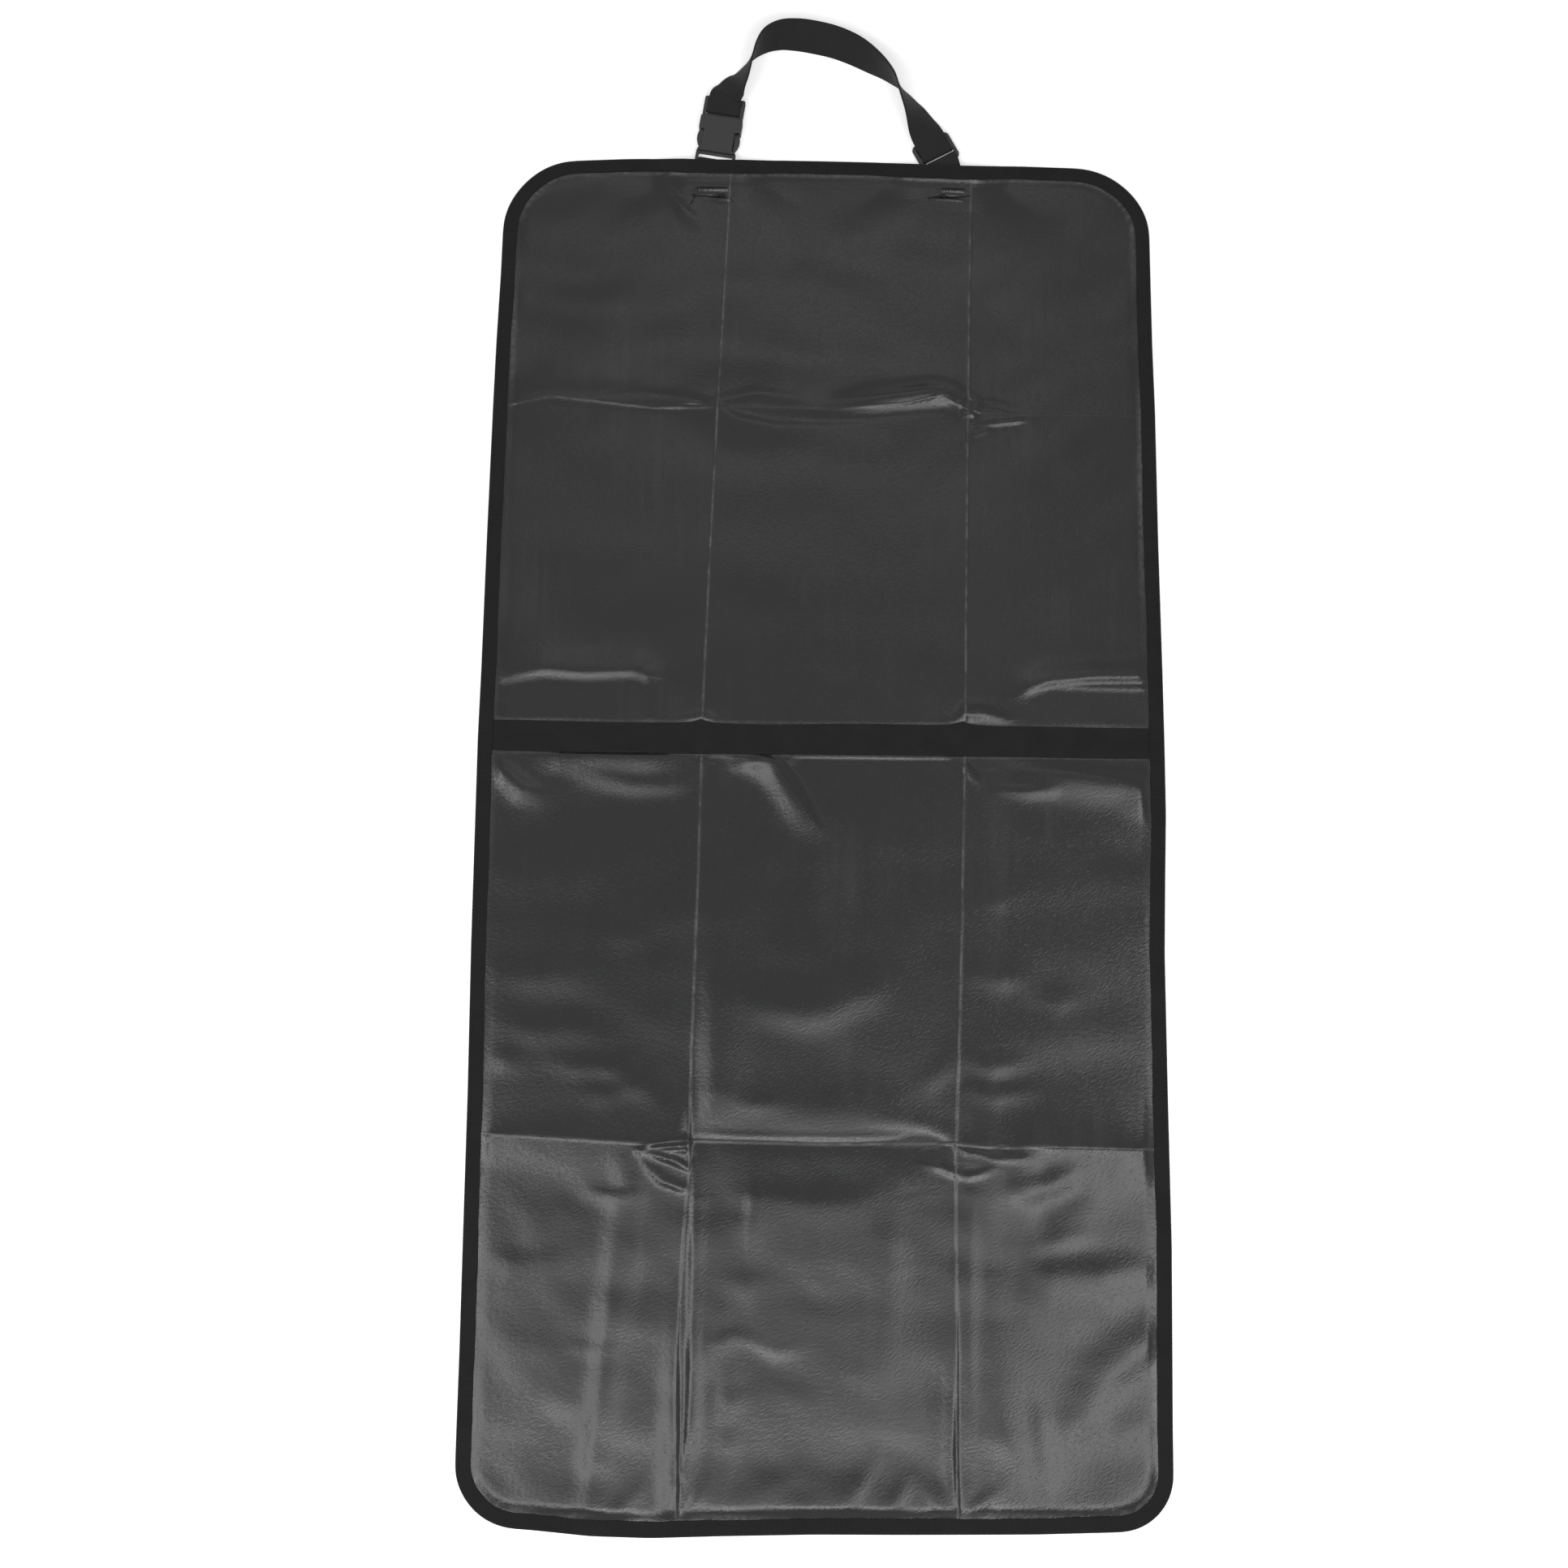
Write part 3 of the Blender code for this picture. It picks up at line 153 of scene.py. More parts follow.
# Broader ridges: x, y and height along each, and its half-width on the left and on the right of its run
RIDGES = (
    # raised strips above the band
    (((-236, 92, 0.8), (-215, 98, 2.0), (-200, 101, 2.4), (-170, 99, 2.3), (-135, 101, 2.3),
      (-124, 97, 1.0)), 9, 3.8),
    (((141, 85, 0.8), (150, 91, 2.0), (164, 96, 2.6), (195, 99, 3.1), (236, 100, 3.1)), 8, 3.1),
    (((172, 91, 0.3), (190, 91, 0.6), (234, 91, 0.7)), 1.8, 1.4),
    (((-124, 98, 0.9), (-123, 80, 0.9), (-123, 64, 0.7)), 5.0, 2.0),
    # puckers at the two sewn bars
    (((-97, 467.6, 0.5), (-94, 467.9, 0.9), (-84, 467.9, 1.0), (-74, 468.0, 1.0),
      (-72, 467.6, 0.3)), 0.8, 0.9),
    (((-97, 464.4, 0.5), (-88, 464.4, 0.7), (-80, 464.2, 0.5)), 0.8, 0.8),
    (((-86, 460.4, 0.2), (-78, 460.8, 0.8), (-72, 460.6, 1.0)), 0.8, 1.3),
    (((84, 469.6, 0.4), (88, 469.7, 1.0), (102, 469.5, 1.1), (104, 469.4, 0.3)), 0.8, 0.9),
    (((86, 466.6, 0.5), (94, 466.6, 0.7), (100, 466.4, 0.4)), 0.7, 0.7),
    (((77, 463.2, 0.5), (84, 463.0, 0.8), (92, 462.8, 0.8), (102, 462.2, 1.0), (104, 462.0, 0.3)), 0.7, 0.9),
    # curved crease by the left tab
    (((-121, 472, 0.6), (-113, 461, 1.7), (-103, 450, 1.7), (-92, 442, 0.5)), 1.4, 1.9),
    (((-112, 453, 0.2), (-103, 444, 0.8), (-92, 437, 0.4)), 1.2, 1.8),
    # upper fold across: raised on the left of the right crossing, hollow below it in the middle
    (((-236, 302, 0.6), (-200, 307, 1.3), (-140, 303, 1.4), (-104, 301, 1.0)), 9, 3.2),
    (((-140, 309, 0.3), (-104, 305, 1.0), (-84, 301, 0.9)), 3.0, 5.0),
    (((0, 301, 0.6), (20, 304, 2.6), (38, 306, 4.2), (58, 309, 5.6), (78, 312, 6.4), (91, 310, 5.6),
      (102, 302, 1.8)),
     5.6, 7.0),
    (((-78, 297, 0.9), (-62, 289, 1.5), (-34, 284, 1.2), (10, 284, 0.9), (60, 290, 0.9),
      (98, 294, 0.6)), 3.0, 9.0),
    (((-76, 304, 0.7), (-50, 310, 0.8), (-20, 306, 0.4)), 3.0, 3.0),
    # knot where the folds cross
    (((98, 298, 0.6), (101, 305, 1.6), (106, 309.5, 1.8), (112, 307, 1.6), (114, 301, 1.4), (109, 296, 1.2),
      (102, 296, 0.6)), 1.6, 1.9),
    (((103, 299, 0.6), (106, 303, 1.2), (110, 302, 0.6)), 1.3, 1.5),
    (((107, 284, 0.5), (114, 287, 1.3), (126, 289, 1.5), (140, 290.5, 1.4), (152, 293, 0.3)), 1.4, 1.8),
    (((106, 279, 0.4), (111, 281, 1.1), (118, 283, 1.1), (125, 284, 0.3)), 1.2, 1.5),
    (((113, 304, 0.4), (124, 306, 0.7), (138, 302, 0.2)), 1.3, 1.6),
    (((118, 300, 0.3), (127, 299, 0.6), (136, 296, 0.2)), 1.2, 1.3),
    # corners lifted beside the folds above the band
    (((96, 66, 0.9), (104, 71, 3.0), (116, 71.5, 2.6), (134, 67, 0.6)), 4, 3.2),
    (((-98, 64, 0.6), (-86, 66, 1.9), (-76, 64, 0.5)), 3, 2.6),
    # curved ridge below the band
    (((-72, 42, 0.8), (-50, 41, 3.6), (-32, 31, 5.0), (-18, 10, 3.8), (-7, -8, 2.4),
      (5, -22, 0.4)), 3.0, 9.5),
    (((-60, 30, 0.5), (-40, 34, 1.0), (-22, 36, 0.8)), 3.0, 3.0),
    # patches lit below the band
    (((-236, 33, 0.6), (-226, 26, 2.4), (-212, 14, 3.0), (-200, 10, 1.4), (-188, 14, 0.5)), 4.0, 7.5),
    (((-208, 36, 0.8), (-186, 37, 3.6), (-152, 38, 4.9), (-124, 38, 5.2), (-98, 35, 1.8)), 5.0, 12.0),
    (((-170, 22, 0.3), (-150, 19, 1.0), (-132, 16, 1.4), (-112, 16, 1.2), (-96, 18, 0.6)), 4.0, 5.0),
    (((128, 17, 0.8), (148, 15, 1.5), (165, 17, 0.9)), 2.0, 3.6),
    (((132, 29, 0.6), (156, 28, 2.6), (182, 26, 4.4), (208, 22, 5.4), (236, 18, 5.0)), 6.0, 11.0),
    (((104, 32, 1.2), (108, 26, 1.6), (112, 20, 0.6)), 1.6, 2.4),
    # soft patches between the band and the lower fold
    (((-66, -131, 0.5), (-46, -134, 1.5), (-20, -138, 2.2), (6, -138, 2.2), (30, -130, 1.6),
      (52, -114, 0.4)), 12, 10),
    (((-40, -146, 0.4), (-10, -150, 0.9), (14, -146, 0.4)), 6, 7),
    (((-224, -119, 0.4), (-200, -122, 0.8), (-172, -118, 0.3)), 9, 8),
    (((-216, -154, 0.3), (-196, -158, 0.9), (-172, -156, 0.9), (-146, -160, 0.3)), 7, 8),
    (((-228, -176, 0.4), (-218, -180, 1.0), (-206, -182, 0.4)), 7, 6),
    (((-184, -180, 0.4), (-166, -184, 1.0), (-146, -184, 0.8), (-134, -180, 0.3)), 6, 6),
    (((-166, -200, 0.3), (-148, -203, 0.8), (-134, -200, 0.4)), 5, 6),
    (((-138, -188, 0.5), (-124, -196, 1.3), (-108, -208, 0.6)), 6, 7),
    (((-150, -90, 0.3), (-134, -92, 0.9), (-116, -88, 0.3)), 7, 7),
    (((112, -62, 0.3), (124, -64, 0.8), (136, -62, 0.3)), 6, 5),
    (((112, -116, 0.5), (128, -119, 1.1), (146, -117, 0.4)), 6, 6),
    (((146, -128, 0.4), (168, -134, 1.0), (186, -130, 0.3)), 8, 6),
    (((108, -176, 0.4), (122, -181, 1.2), (142, -178, 0.4)), 5, 5),
    (((106, -196, 0.5), (124, -200, 1.1), (150, -196, 0.4)), 4, 5),
    (((66, -196, 0.2), (78, -190, 0.7), (90, -182, 0.5), (96, -170, 0.2)), 6, 6),
    # soft step to the right of the left fold
    (((-72, -50, 0.2), (-71, -95, 1.2), (-71, -140, 2.2), (-71, -175, 2.8), (-70, -200, 3.0),
      (-70, -224, 1.2)), 15, 9),
    # above the lower fold in the middle
    (((-86, -210, 0.6), (-62, -211, 0.9), (-30, -212, 1.1), (0, -212, 1.1), (30, -211, 0.9), (48, -210, 0.5),
      (64, -208, 0.1)), 12, 12),
    (((-84, -228, 0.2), (-60, -229.5, 0.35), (-20, -230, 0.4), (20, -230, 0.4), (56, -228.5, 0.3)), 1.6, 1.6),
    (((-60, -206, 0.3), (-44, -209, 0.8), (-26, -208, 0.3)), 5, 4),
    (((34, -219, 0.2), (56, -220, 0.8), (76, -222, 1.1), (89, -227, 1.2), (97, -233, 0.6)), 5, 3.2),
    # fan of creases at the lower left crossing
    (((-123, -240, 0.8), (-112, -236, 2.0), (-100, -234.0, 1.9), (-90, -233, 1.5)), 1.5, 1.9),
    (((-123, -241, 0.8), (-110, -244, 1.8), (-99, -247, 2.2), (-90, -252, 1.4)), 1.5, 1.7),
    (((-122, -243, 0.7), (-115, -253, 1.7), (-106, -261, 1.9), (-92, -266, 1.5)), 1.8, 2.2),
    (((-112, -240, 0.5), (-102, -240.5, 1.2), (-91, -240, 0.9)), 1.0, 1.2),
    # long waves of the lower third, drawn downwards, so that their left is the mat's right
    (((-134, -242, 0.6), (-132, -262, 1.6), (-134, -285, 1.4), (-137, -310, 1.7), (-140, -350, 2.0),
      (-144, -400, 2.4), (-148, -450, 2.3), (-150, -482, 1.0)), 10.0, 7.0),
    (((-126, -262, 0.3), (-124, -275, 0.7), (-126, -290, 0.5), (-125, -315, 0.8),
      (-126, -335, 0.3)), 6.0, 4.0),
    (((-97, -330, 0.3), (-96, -370, 0.9), (-95.5, -395, 1.9), (-95, -430, 2.5), (-94.5, -465, 2.3),
      (-94, -484, 1.2)),
     2.2, 7.0),
    (((-84, -250, 0.6), (-84, -275, 1.3), (-84, -330, 1.4), (-84, -400, 2.0), (-85, -430, 1.9),
      (-88, -455, 1.0)),
     5.5, 2.4),
    (((-46, -256, 0.4), (-45, -272, 0.8), (-46, -300, 0.7), (-46, -322, 0.2)), 6.5, 2.0),
    (((-62, -380, 0.2), (-60, -392, 0.9), (-60, -410, 0.9), (-60, -426, 0.3)), 7, 5),
    (((-60, -424, 0.2), (-60, -436, 1.2), (-62, -452, 1.1), (-66, -470, 0.4)), 7, 6),
    (((-76, -330, 0.3), (-68, -350, 0.9), (-66, -372, 1.0), (-70, -384, 0.3)), 7, 7),
    (((52, -262, 0.4), (50, -300, 0.9), (48, -350, 0.7), (46, -395, 0.3)), 9, 8),
    (((95, -330, 0.3), (94, -370, 1.0), (93, -405, 1.8), (92, -440, 2.2), (93, -465, 1.8),
      (94, -486, 0.8)), 2.6, 6.0),
    (((105, -270, 0.5), (105, -330, 0.8), (105, -400, 0.8), (106, -460, 0.4)), 4.0, 5.0),
    (((122, -352, 0.5), (127, -395, 2.0), (130, -430, 2.8), (132, -456, 2.8), (136, -482, 1.2)), 20.0, 12.0),
    (((150, -402, 0.2), (153, -420, 0.8), (156, -446, 0.9), (157, -468, 0.3)), 6.0, 4.0),
    # creases at the lower right crossing
    (((76, -247, 0.5), (85, -249.5, 1.6), (92, -252.5, 1.5), (97, -254.5, 0.7)), 1.8, 2.4),
    (((98, -254, 0.4), (104, -256, 1.0), (112, -254, 0.9), (120, -250.5, 0.3)), 1.5, 2.0),
    (((97, -236.5, 0.3), (104, -239.5, 0.6), (113, -240.5, 0.6), (124, -244, 0.8), (131, -244.6, 0.8),
      (142, -246, 0.3)), 1.3, 1.5),
    (((122, -235, 0.3), (126, -237.8, 0.9), (130, -241.5, 1.1), (136, -243, 0.9),
      (145, -243, 0.2)), 1.2, 1.4),
    (((108, -235, 0.2), (120, -234.4, 0.5), (126, -233.2, 0.8), (133, -235, 0.3)), 1.2, 1.2),
    # lower right section
    (((126, -267, 0.3), (142, -265, 1.2), (158, -262, 2.2), (170, -257, 1.8), (182, -251, 0.4)), 6, 6.5),
    (((150, -294, 0.3), (168, -290, 0.9), (182, -280, 1.0), (190, -270, 0.5), (198, -262, 0.2)), 8, 9),
    (((150, -303, 0.4), (168, -299, 1.0), (184, -296, 0.8), (196, -300, 0.2)), 5, 4),
    (((138, -322, 0.4), (160, -324, 2.6), (196, -323, 3.0), (214, -320, 2.0), (232, -317, 0.5)), 9, 13),
    (((150, -352, 0.3), (172, -356, 0.7), (196, -352, 0.3)), 7, 9),
    (((176, -430, 0.6), (188, -402, 1.7), (202, -384, 2.3), (216, -373, 2.3), (236, -363, 2.1)), 12, 9),
    (((160, -418, 0.2), (172, -422, 0.7), (184, -418, 0.3)), 7, 7),
    (((192, -424, 0.3), (208, -428, 1.0), (224, -422, 0.4)), 8, 7),
    # lower left section
    (((-234, -315, 0.6), (-210, -320, 1.6), (-184, -319, 1.4), (-160, -313, 0.3)), 8, 12),
    (((-156, -270, 0.4), (-140, -273, 0.9), (-124, -270, 0.3)), 3.4, 4),
    (((-166, -372, 0.3), (-150, -376, 0.5), (-138, -374, 0.2)), 3, 3.4),
    (((-226, -366, 0.2), (-200, -370, 0.5), (-176, -366, 0.2)), 12, 12),
    (((-226, -408, 0.2), (-194, -412, 0.6), (-166, -406, 0.2)), 14, 14),
    # middle section
    (((-70, -370, 0.3), (-56, -365, 0.7), (-44, -368, 0.5), (-28, -375, 0.6), (-12, -373, 0.2)), 3.0, 3.4),
    (((-62, -286, 0.2), (-52, -290, 0.6), (-40, -288, 0.2)), 6, 7),
    (((-60, -326, 0.3), (-48, -330, 0.7), (-36, -328, 0.2)), 6, 7),
    (((-44, -322, 0.2), (0, -327, 0.8), (44, -323, 0.3)), 24, 8),
    (((-66, -272, 0.4), (-40, -274, 1.7), (0, -276, 2.0), (30, -275, 1.7), (48, -272, 0.4)), 8, 16),
    (((-66, -404, 0.2), (-56, -408, 0.6), (-46, -406, 0.2)), 5, 5),
    (((-30, -398, 0.2), (-4, -402, 0.5), (26, -398, 0.2)), 10, 10),
    # pleats along the lower edge
    (((-90, -483, 1.2), (-70, -480, 1.8), (-50, -478, 2.0), (-30, -477, 2.5), (0, -476, 3.2), (40, -477, 2.6),
      (66, -481, 2.4), (88, -484, 1.8)), 13, 8),
    (((-40, -470, 0.3), (-26, -460, 0.9), (-10, -455, 0.8), (12, -460, 0.3)), 8, 6),
    (((16, -482, 0.4), (30, -462, 1.0), (40, -446, 0.3)), 6, 4),
    (((46, -484, 0.4), (56, -470, 0.9), (62, -458, 0.3)), 4, 4),
    (((-136, -486, 0.8), (-122, -470, 0.8), (-112, -456, 0.2)), 3.4, 4),
    (((-88, -486, 1.0), (-80, -472, 0.9), (-74, -460, 0.3)), 2.4, 3),
    (((90, -486, 1.0), (80, -468, 1.1), (70, -454, 0.3)), 3, 3),
    (((100, -486, 0.9), (112, -472, 1.0), (126, -462, 0.3)), 2.6, 3.4),
    (((-230, -458, 0.6), (-216, -474, 1.4), (-190, -482, 2.0), (-150, -484, 2.0), (-118, -485, 1.2)), 13, 8),
    (((120, -482, 0.6), (165, -483, 1.7), (198, -479, 2.4), (220, -466, 2.2), (230, -450, 1.0)), 16, 8),
)

# Broad swells: x, y, half-length across, half-length along and height
SWELLS = (
    (225, 3, 14, 8, 0.8), (-190, -390, 40, 34, 0.9), (20, -400, 34, 30, 0.8), (-150, 400, 40, 50, 0.9),
    (10, 270, 50, 12, 0.6), (-130, 150, 50, 20, 0.9), (170, 400, 40, 60, 0.9), (-40, 430, 60, 30, 1.0),
    (20, 380, 46, 40, 1.0), (-190, 330, 40, 16, 0.8),
)


def smooth(value):
    """0 below 0, 1 above 1, and a soft step between them."""
    value = np.clip(value, 0.0, 1.0)
    return value * value * (3.0 - 2.0 * value)


def step_up(value, at):
    """A soft step up that starts at a place and is done after a width."""
    place, width = at
    return smooth((value - place) / width)


def step_down(value, at):
    """A soft step down that ends at a place and starts a width before it."""
    place, width = at
    return smooth((place - value) / width)


def travelled(points):
    """Length along a polyline up to each of its points."""
    return np.concatenate([[0.0], np.cumsum(np.linalg.norm(np.diff(points, axis=0), axis=1))])


def unit(vectors):
    return vectors / np.linalg.norm(vectors, axis=1)[:, None]


def above_fold(points, fold):
    """How far each point lies above a fold that runs across the mat."""
    return points[:, 1] - np.interp(points[:, 0], [p[0] for p in fold], [p[1] for p in fold])


def grid_quads(rows, cols):
    """Faces of a grid of points, counted row by row."""
    index = np.arange(rows * cols).reshape(rows, cols)
    return np.stack([index[:-1, :-1], index[:-1, 1:], index[1:, 1:], index[1:, :-1]], axis=-1).reshape(-1, 4)


def resampled(points, step):
    """The open polyline, with a point about every step."""
    points = np.asarray(points, float)
    along = travelled(points[:, :2])
    count = max(2, int(round(along[-1] / step)) + 1)
    wanted = np.linspace(0.0, along[-1], count)
    return np.stack([np.interp(wanted, along, points[:, i]) for i in range(points.shape[1])], axis=1)


def corner(centre, radius, start):
    """A quarter circle, clockwise from the start angle in degrees."""
    angles = np.radians(np.linspace(start, start - 90.0, 13))
    return [(centre[0] + radius * math.cos(a), centre[1] + radius * math.sin(a)) for a in angles]


def tab_share(x, middle, fade=LIFT_FADE):
    """1 where the mat rides over a tab, falling to 0 on both sides of it."""
    return smooth(1.0 - (np.abs(x - middle) - LIFT_HALF) / fade)


def outline():
    """The mat's outer edge, clockwise from the top left, closed and evenly spaced."""
    r_top, r_left, r_right = CORNERS["top"], CORNERS["bottom_left"], CORNERS["bottom_right"]
    path = []
    path += corner((BOX["left"] + r_top, BOX["top"] - r_top), r_top, 180)
    path += corner((BOX["right"] - r_top, BOX["top"] - r_top), r_top, 90)
    path += corner((BOX["right"] - r_right, BOX["low_right"] + r_right), r_right, 0)
    path += corner((BOX["left"] + r_left, BOX["low_left"] + r_left), r_left, -90)
    path.append(path[0])
    path = resampled(path, 2.0)[:-1]
    x, y = path[:, 0].copy(), path[:, 1].copy()
    left = np.interp(y, SIDE_Y, LEFT_X) - BOX["left"]
    right = np.interp(y, SIDE_Y, RIGHT_X) - BOX["right"]
    wide = BOX["right"] - BOX["left"]
    low = BOX["low_left"] + (BOX["low_right"] - BOX["low_left"]) * np.clip(0.5 + x / wide, 0, 1)
    top = np.interp(x, END_X, TOP_Y) - BOX["top"]
    for middle, _, _ in TABS:
        top = top - TOP_PULL * tab_share(x, middle)
    bottom = np.interp(x, END_X, BOTTOM_Y) - low
    side = smooth((np.abs(x) - 190.0) / 45.0)
    end = smooth((np.abs(y) - 440.0) / 40.0)
    x = x + np.where(x < 0, left, right) * side
    y = y + np.where(y < 0, bottom, top) * end
    ring = np.stack([x, y], axis=1)
    for _ in range(6):
        ring = (ring + 0.5 * np.roll(ring, 1, axis=0) + 0.5 * np.roll(ring, -1, axis=0)) / 2.0
    return ring


def inward(ring):
    """Unit normals of a clockwise ring that point into the mat."""
    ahead = unit(np.roll(ring, -1, axis=0) - np.roll(ring, 1, axis=0))
    return np.stack([ahead[:, 1], -ahead[:, 0]], axis=1)


OUTLINE = outline()
INWARD = inward(OUTLINE)
# The edge isn't felt deeper in the mat than this
FAR = 60.0


def edge_depth(points):
    """How far inside the outer edge each point lies, up to FAR, and the way in from the edge."""
    depth = np.full(len(points), FAR)
    way = np.zeros((len(points), 2))
    near = np.where((np.abs(points[:, 0]) > 180) | (np.abs(points[:, 1]) > 430))[0]
    after = np.roll(OUTLINE, -1, axis=0)
    step = after - OUTLINE
    square = (step ** 2).sum(axis=1)
    for start in range(0, len(near), 1500):
        chosen = near[start:start + 1500]
        part = points[chosen]
        offset = part[:, None, :] - OUTLINE[None]
        along = np.clip((offset * step[None]).sum(axis=2) / square[None], 0, 1)
        gap = offset - along[:, :, None] * step[None]
        square_gap = (gap ** 2).sum(axis=2)
        best = square_gap.argmin(axis=1)
        rows = np.arange(len(chosen))
        normal = INWARD[best]
        side = np.sign((gap[rows, best] * normal).sum(axis=1))
        depth[chosen] = side * np.sqrt(square_gap[rows, best])
        way[chosen] = normal
    return np.minimum(depth, FAR), way


def line_field(points, line):
    """Distance from a polyline (positive on its left), and its third value at the nearest place."""
    line = np.asarray(line, float)
    best = np.full(len(points), 1e9)
    value = np.zeros(len(points))
    side = np.ones(len(points))
    for (x0, y0, h0), (x1, y1, h1) in zip(line[:-1], line[1:]):
        dx, dy = x1 - x0, y1 - y0
        px, py = points[:, 0] - x0, points[:, 1] - y0
        along = np.clip((px * dx + py * dy) / (dx * dx + dy * dy), 0, 1)
        away = (px - along * dx) ** 2 + (py - along * dy) ** 2
        nearer = away < best
        best = np.where(nearer, away, best)
        value = np.where(nearer, h0 + along * (h1 - h0), value)
        side = np.where(nearer, np.sign(dx * py - dy * px), side)
    return np.sqrt(best) * side, value


def ridge(points, line, left, right):
    """Height of one ridge, worked out only where it is felt."""
    ends = np.asarray(line, float)[:, :2]
    reach = 4.0 * max(left, right)
    near = ((points > ends.min(axis=0) - reach) & (points < ends.max(axis=0) + reach)).all(axis=1)
    height = np.zeros(len(points))
    if near.any():
        away, high = line_field(points[near], line)
        wide = np.where(away > 0, left, right)
        height[near] = high * np.exp(-0.5 * (away / wide) ** 2)
    return height


def hardware_lift(points):
    """How far the mat is lifted by the tabs and by the bars of the buckle and the slider."""
    x, y = points[:, 0], points[:, 1]
    lift = np.zeros(len(points))
    for middle, sewn, bar in TABS:
        above = y - sewn
        rise = np.interp(above, LIFT_AT, (*LIFT_HIGH, bar, bar)) * smooth((above + 62) / 61)
        fade = LIFT_FADE + 26.0 * smooth((10.0 - above) / 26.0)
        lift = np.maximum(lift, tab_share(x, middle, fade) * rise)
    return lift


def across_low(points):
    """The lower fold across the mat: a ridge at both sides and a valley in the middle third."""
    x = points[:, 0]
    away = above_fold(points, FOLD_ACROSS_LOW)
    start = step_up(x, MIDDLE_FROM)
    middle = start * step_down(x, MIDDLE_TO)
    shelf = start * step_down(x, SHELF_TO) - middle
    ends = step_up(np.abs(x), ROOF_ENDS)
    ridge_high = (ROOF_HIGH + ROOF_MORE * step_up(x, ROOF_RIGHT)) * (1.0 - ROOF_ENDS_LOWER * ends)
    roof = ridge_high * np.where(away < 0, np.exp(away / ROOF_BELOW), np.exp(-away / ROOF_ABOVE))
    rise = HOLLOW_ABOVE + HOLLOW_MORE * step_up(x, HOLLOW_RIGHT)
    dip = -HOLLOW_DEEP * np.where(away < 0, np.exp(away / HOLLOW_BELOW), np.exp(-away / rise))
    # Right of the hollow, a shelf below the fold stays up before it falls away.
    held = 1.5 - 0.5 * np.exp(np.minimum(away, 0.0) / 9.0)
    held = ridge_high * held * np.exp(-(away / SHELF_REACH) ** 2)
    roof = roof + np.where(away < 0, shelf * (held - roof), 0.0)
    return roof * (1 - middle) + dip * middle


def across_up(points):
    """The upper fold across the mat: a shallow step."""
    away = above_fold(points, FOLD_ACROSS_UP)
    return STEP_HIGH * np.where(away < 0, np.exp(away / STEP_BELOW), np.exp(-away / STEP_ABOVE))


def waves(points, seed, lean, long_low, long_high, high):
    """A smooth random relief: plane waves that run near one direction, in degrees from +X."""
    random = np.random.default_rng(seed)
    total = np.zeros(len(points))
    for _ in range(36):
        turn = math.radians(random.normal(lean, 26.0))
        length = random.uniform(long_low, long_high)
        phase = random.uniform(0.0, 2 * math.pi)
        run = points[:, 0] * math.cos(turn) + points[:, 1] * math.sin(turn)
        total += (length / long_high) * np.sin(run * 2 * math.pi / length + phase)
    return total * high / 4.0


def relief(points):
    """Height of the sheet's creases and waves, with no regard to its edges."""
    y = points[:, 1]
    height = np.full(len(points), 1.3)
    lower = smooth((-225.0 - y) / 20.0)
    upper = smooth((y - 60.0) / 60.0)
    calm_part = 0.4 + 0.6 * smooth((y - 225.0) / 50.0)
    middle = (1 - lower) * (1 - upper)
    height += waves(points, 11, 80.0, 30.0, 90.0, 0.26) * middle
    height += waves(points, 12, 60.0, 18.0, 64.0, 0.24) * lower
    height += waves(points, 13, 92.0, 32.0, 110.0, 0.7) * upper * calm_part
    for line, _ in WEAR:
        height += ridge(points, line, CREST, CREST)
    for line, left, right in RIDGES:
        height += ridge(points, line, left, right)
    for x0, y0, across, along, high in SWELLS:
        far = ((points[:, 0] - x0) / across) ** 2 + ((y - y0) / along) ** 2
        height += high * np.exp(-far)
    height += across_low(points) + across_up(points)
    return np.maximum(height, 0.1)


def sheet_top(points, depth=None):
    """Height of the sheet's upper face above the floor."""
    if depth is None:
        depth, _ = edge_depth(points)
    x, y = points[:, 0], points[:, 1]
    beside_band = smooth((np.abs(y - SEAM_Y) - 9.0) / 6.0)
    calm = smooth((depth - 9.5) / 8.0) * beside_band
    rim = 0.95
    low = rim + (relief(points) - rim) * calm
    lip = 0.4 * (0.3 + 0.7 * smooth((y + 320.0) / 90.0)) * smooth((y + 480.0) / 50.0)
    low = low + lip * smooth(1.0 - np.abs(depth - 10.0) / 2.8) * beside_band
    across = smooth((x + 88.0) / 14.0) * smooth((97.0 - x) / 10.0)
    low = low + 0.8 * across * np.exp(-0.5 * ((y - BAND_LOW + 1.2) / 1.1) ** 2)
    return low + hardware_lift(points) + SHEET


def worn(points):
    """How strongly the coating is whitened along the folds."""
    amount = np.zeros(len(points))
    for line, full in WEAR:
        away, _ = line_field(points, line)
        amount = np.maximum(amount, full * np.exp(-0.5 * (away / WORN_HALF) ** 2))
    return amount


def stations(start, stop, folds, fine, coarse, zones=()):
    """Positions from start to stop, one exactly at each fold, and close together near it."""
    marks = [start, *folds, stop]
    made = [start]
    for a, b in zip(marks[:-1], marks[1:]):
        dense = np.linspace(a, b, max(int((b - a) / 0.1), 2))
        step = np.full(len(dense), coarse)
        for fold in folds:
            step = np.minimum(step, np.maximum(fine, fine + 0.2 * (np.abs(dense - fold) - 1.8)))
        for middle, half, size in zones:
            step = np.minimum(step, np.maximum(size, size + 0.2 * (np.abs(dense - middle) - half)))
        run = np.concatenate([[0.0], np.cumsum(np.diff(dense) * 2.0 / (step[1:] + step[:-1]))])
        count = max(1, int(round(run[-1])))
        made += list(np.interp(np.linspace(0.0, run[-1], count + 1)[1:], run, dense))
    return np.array(made)


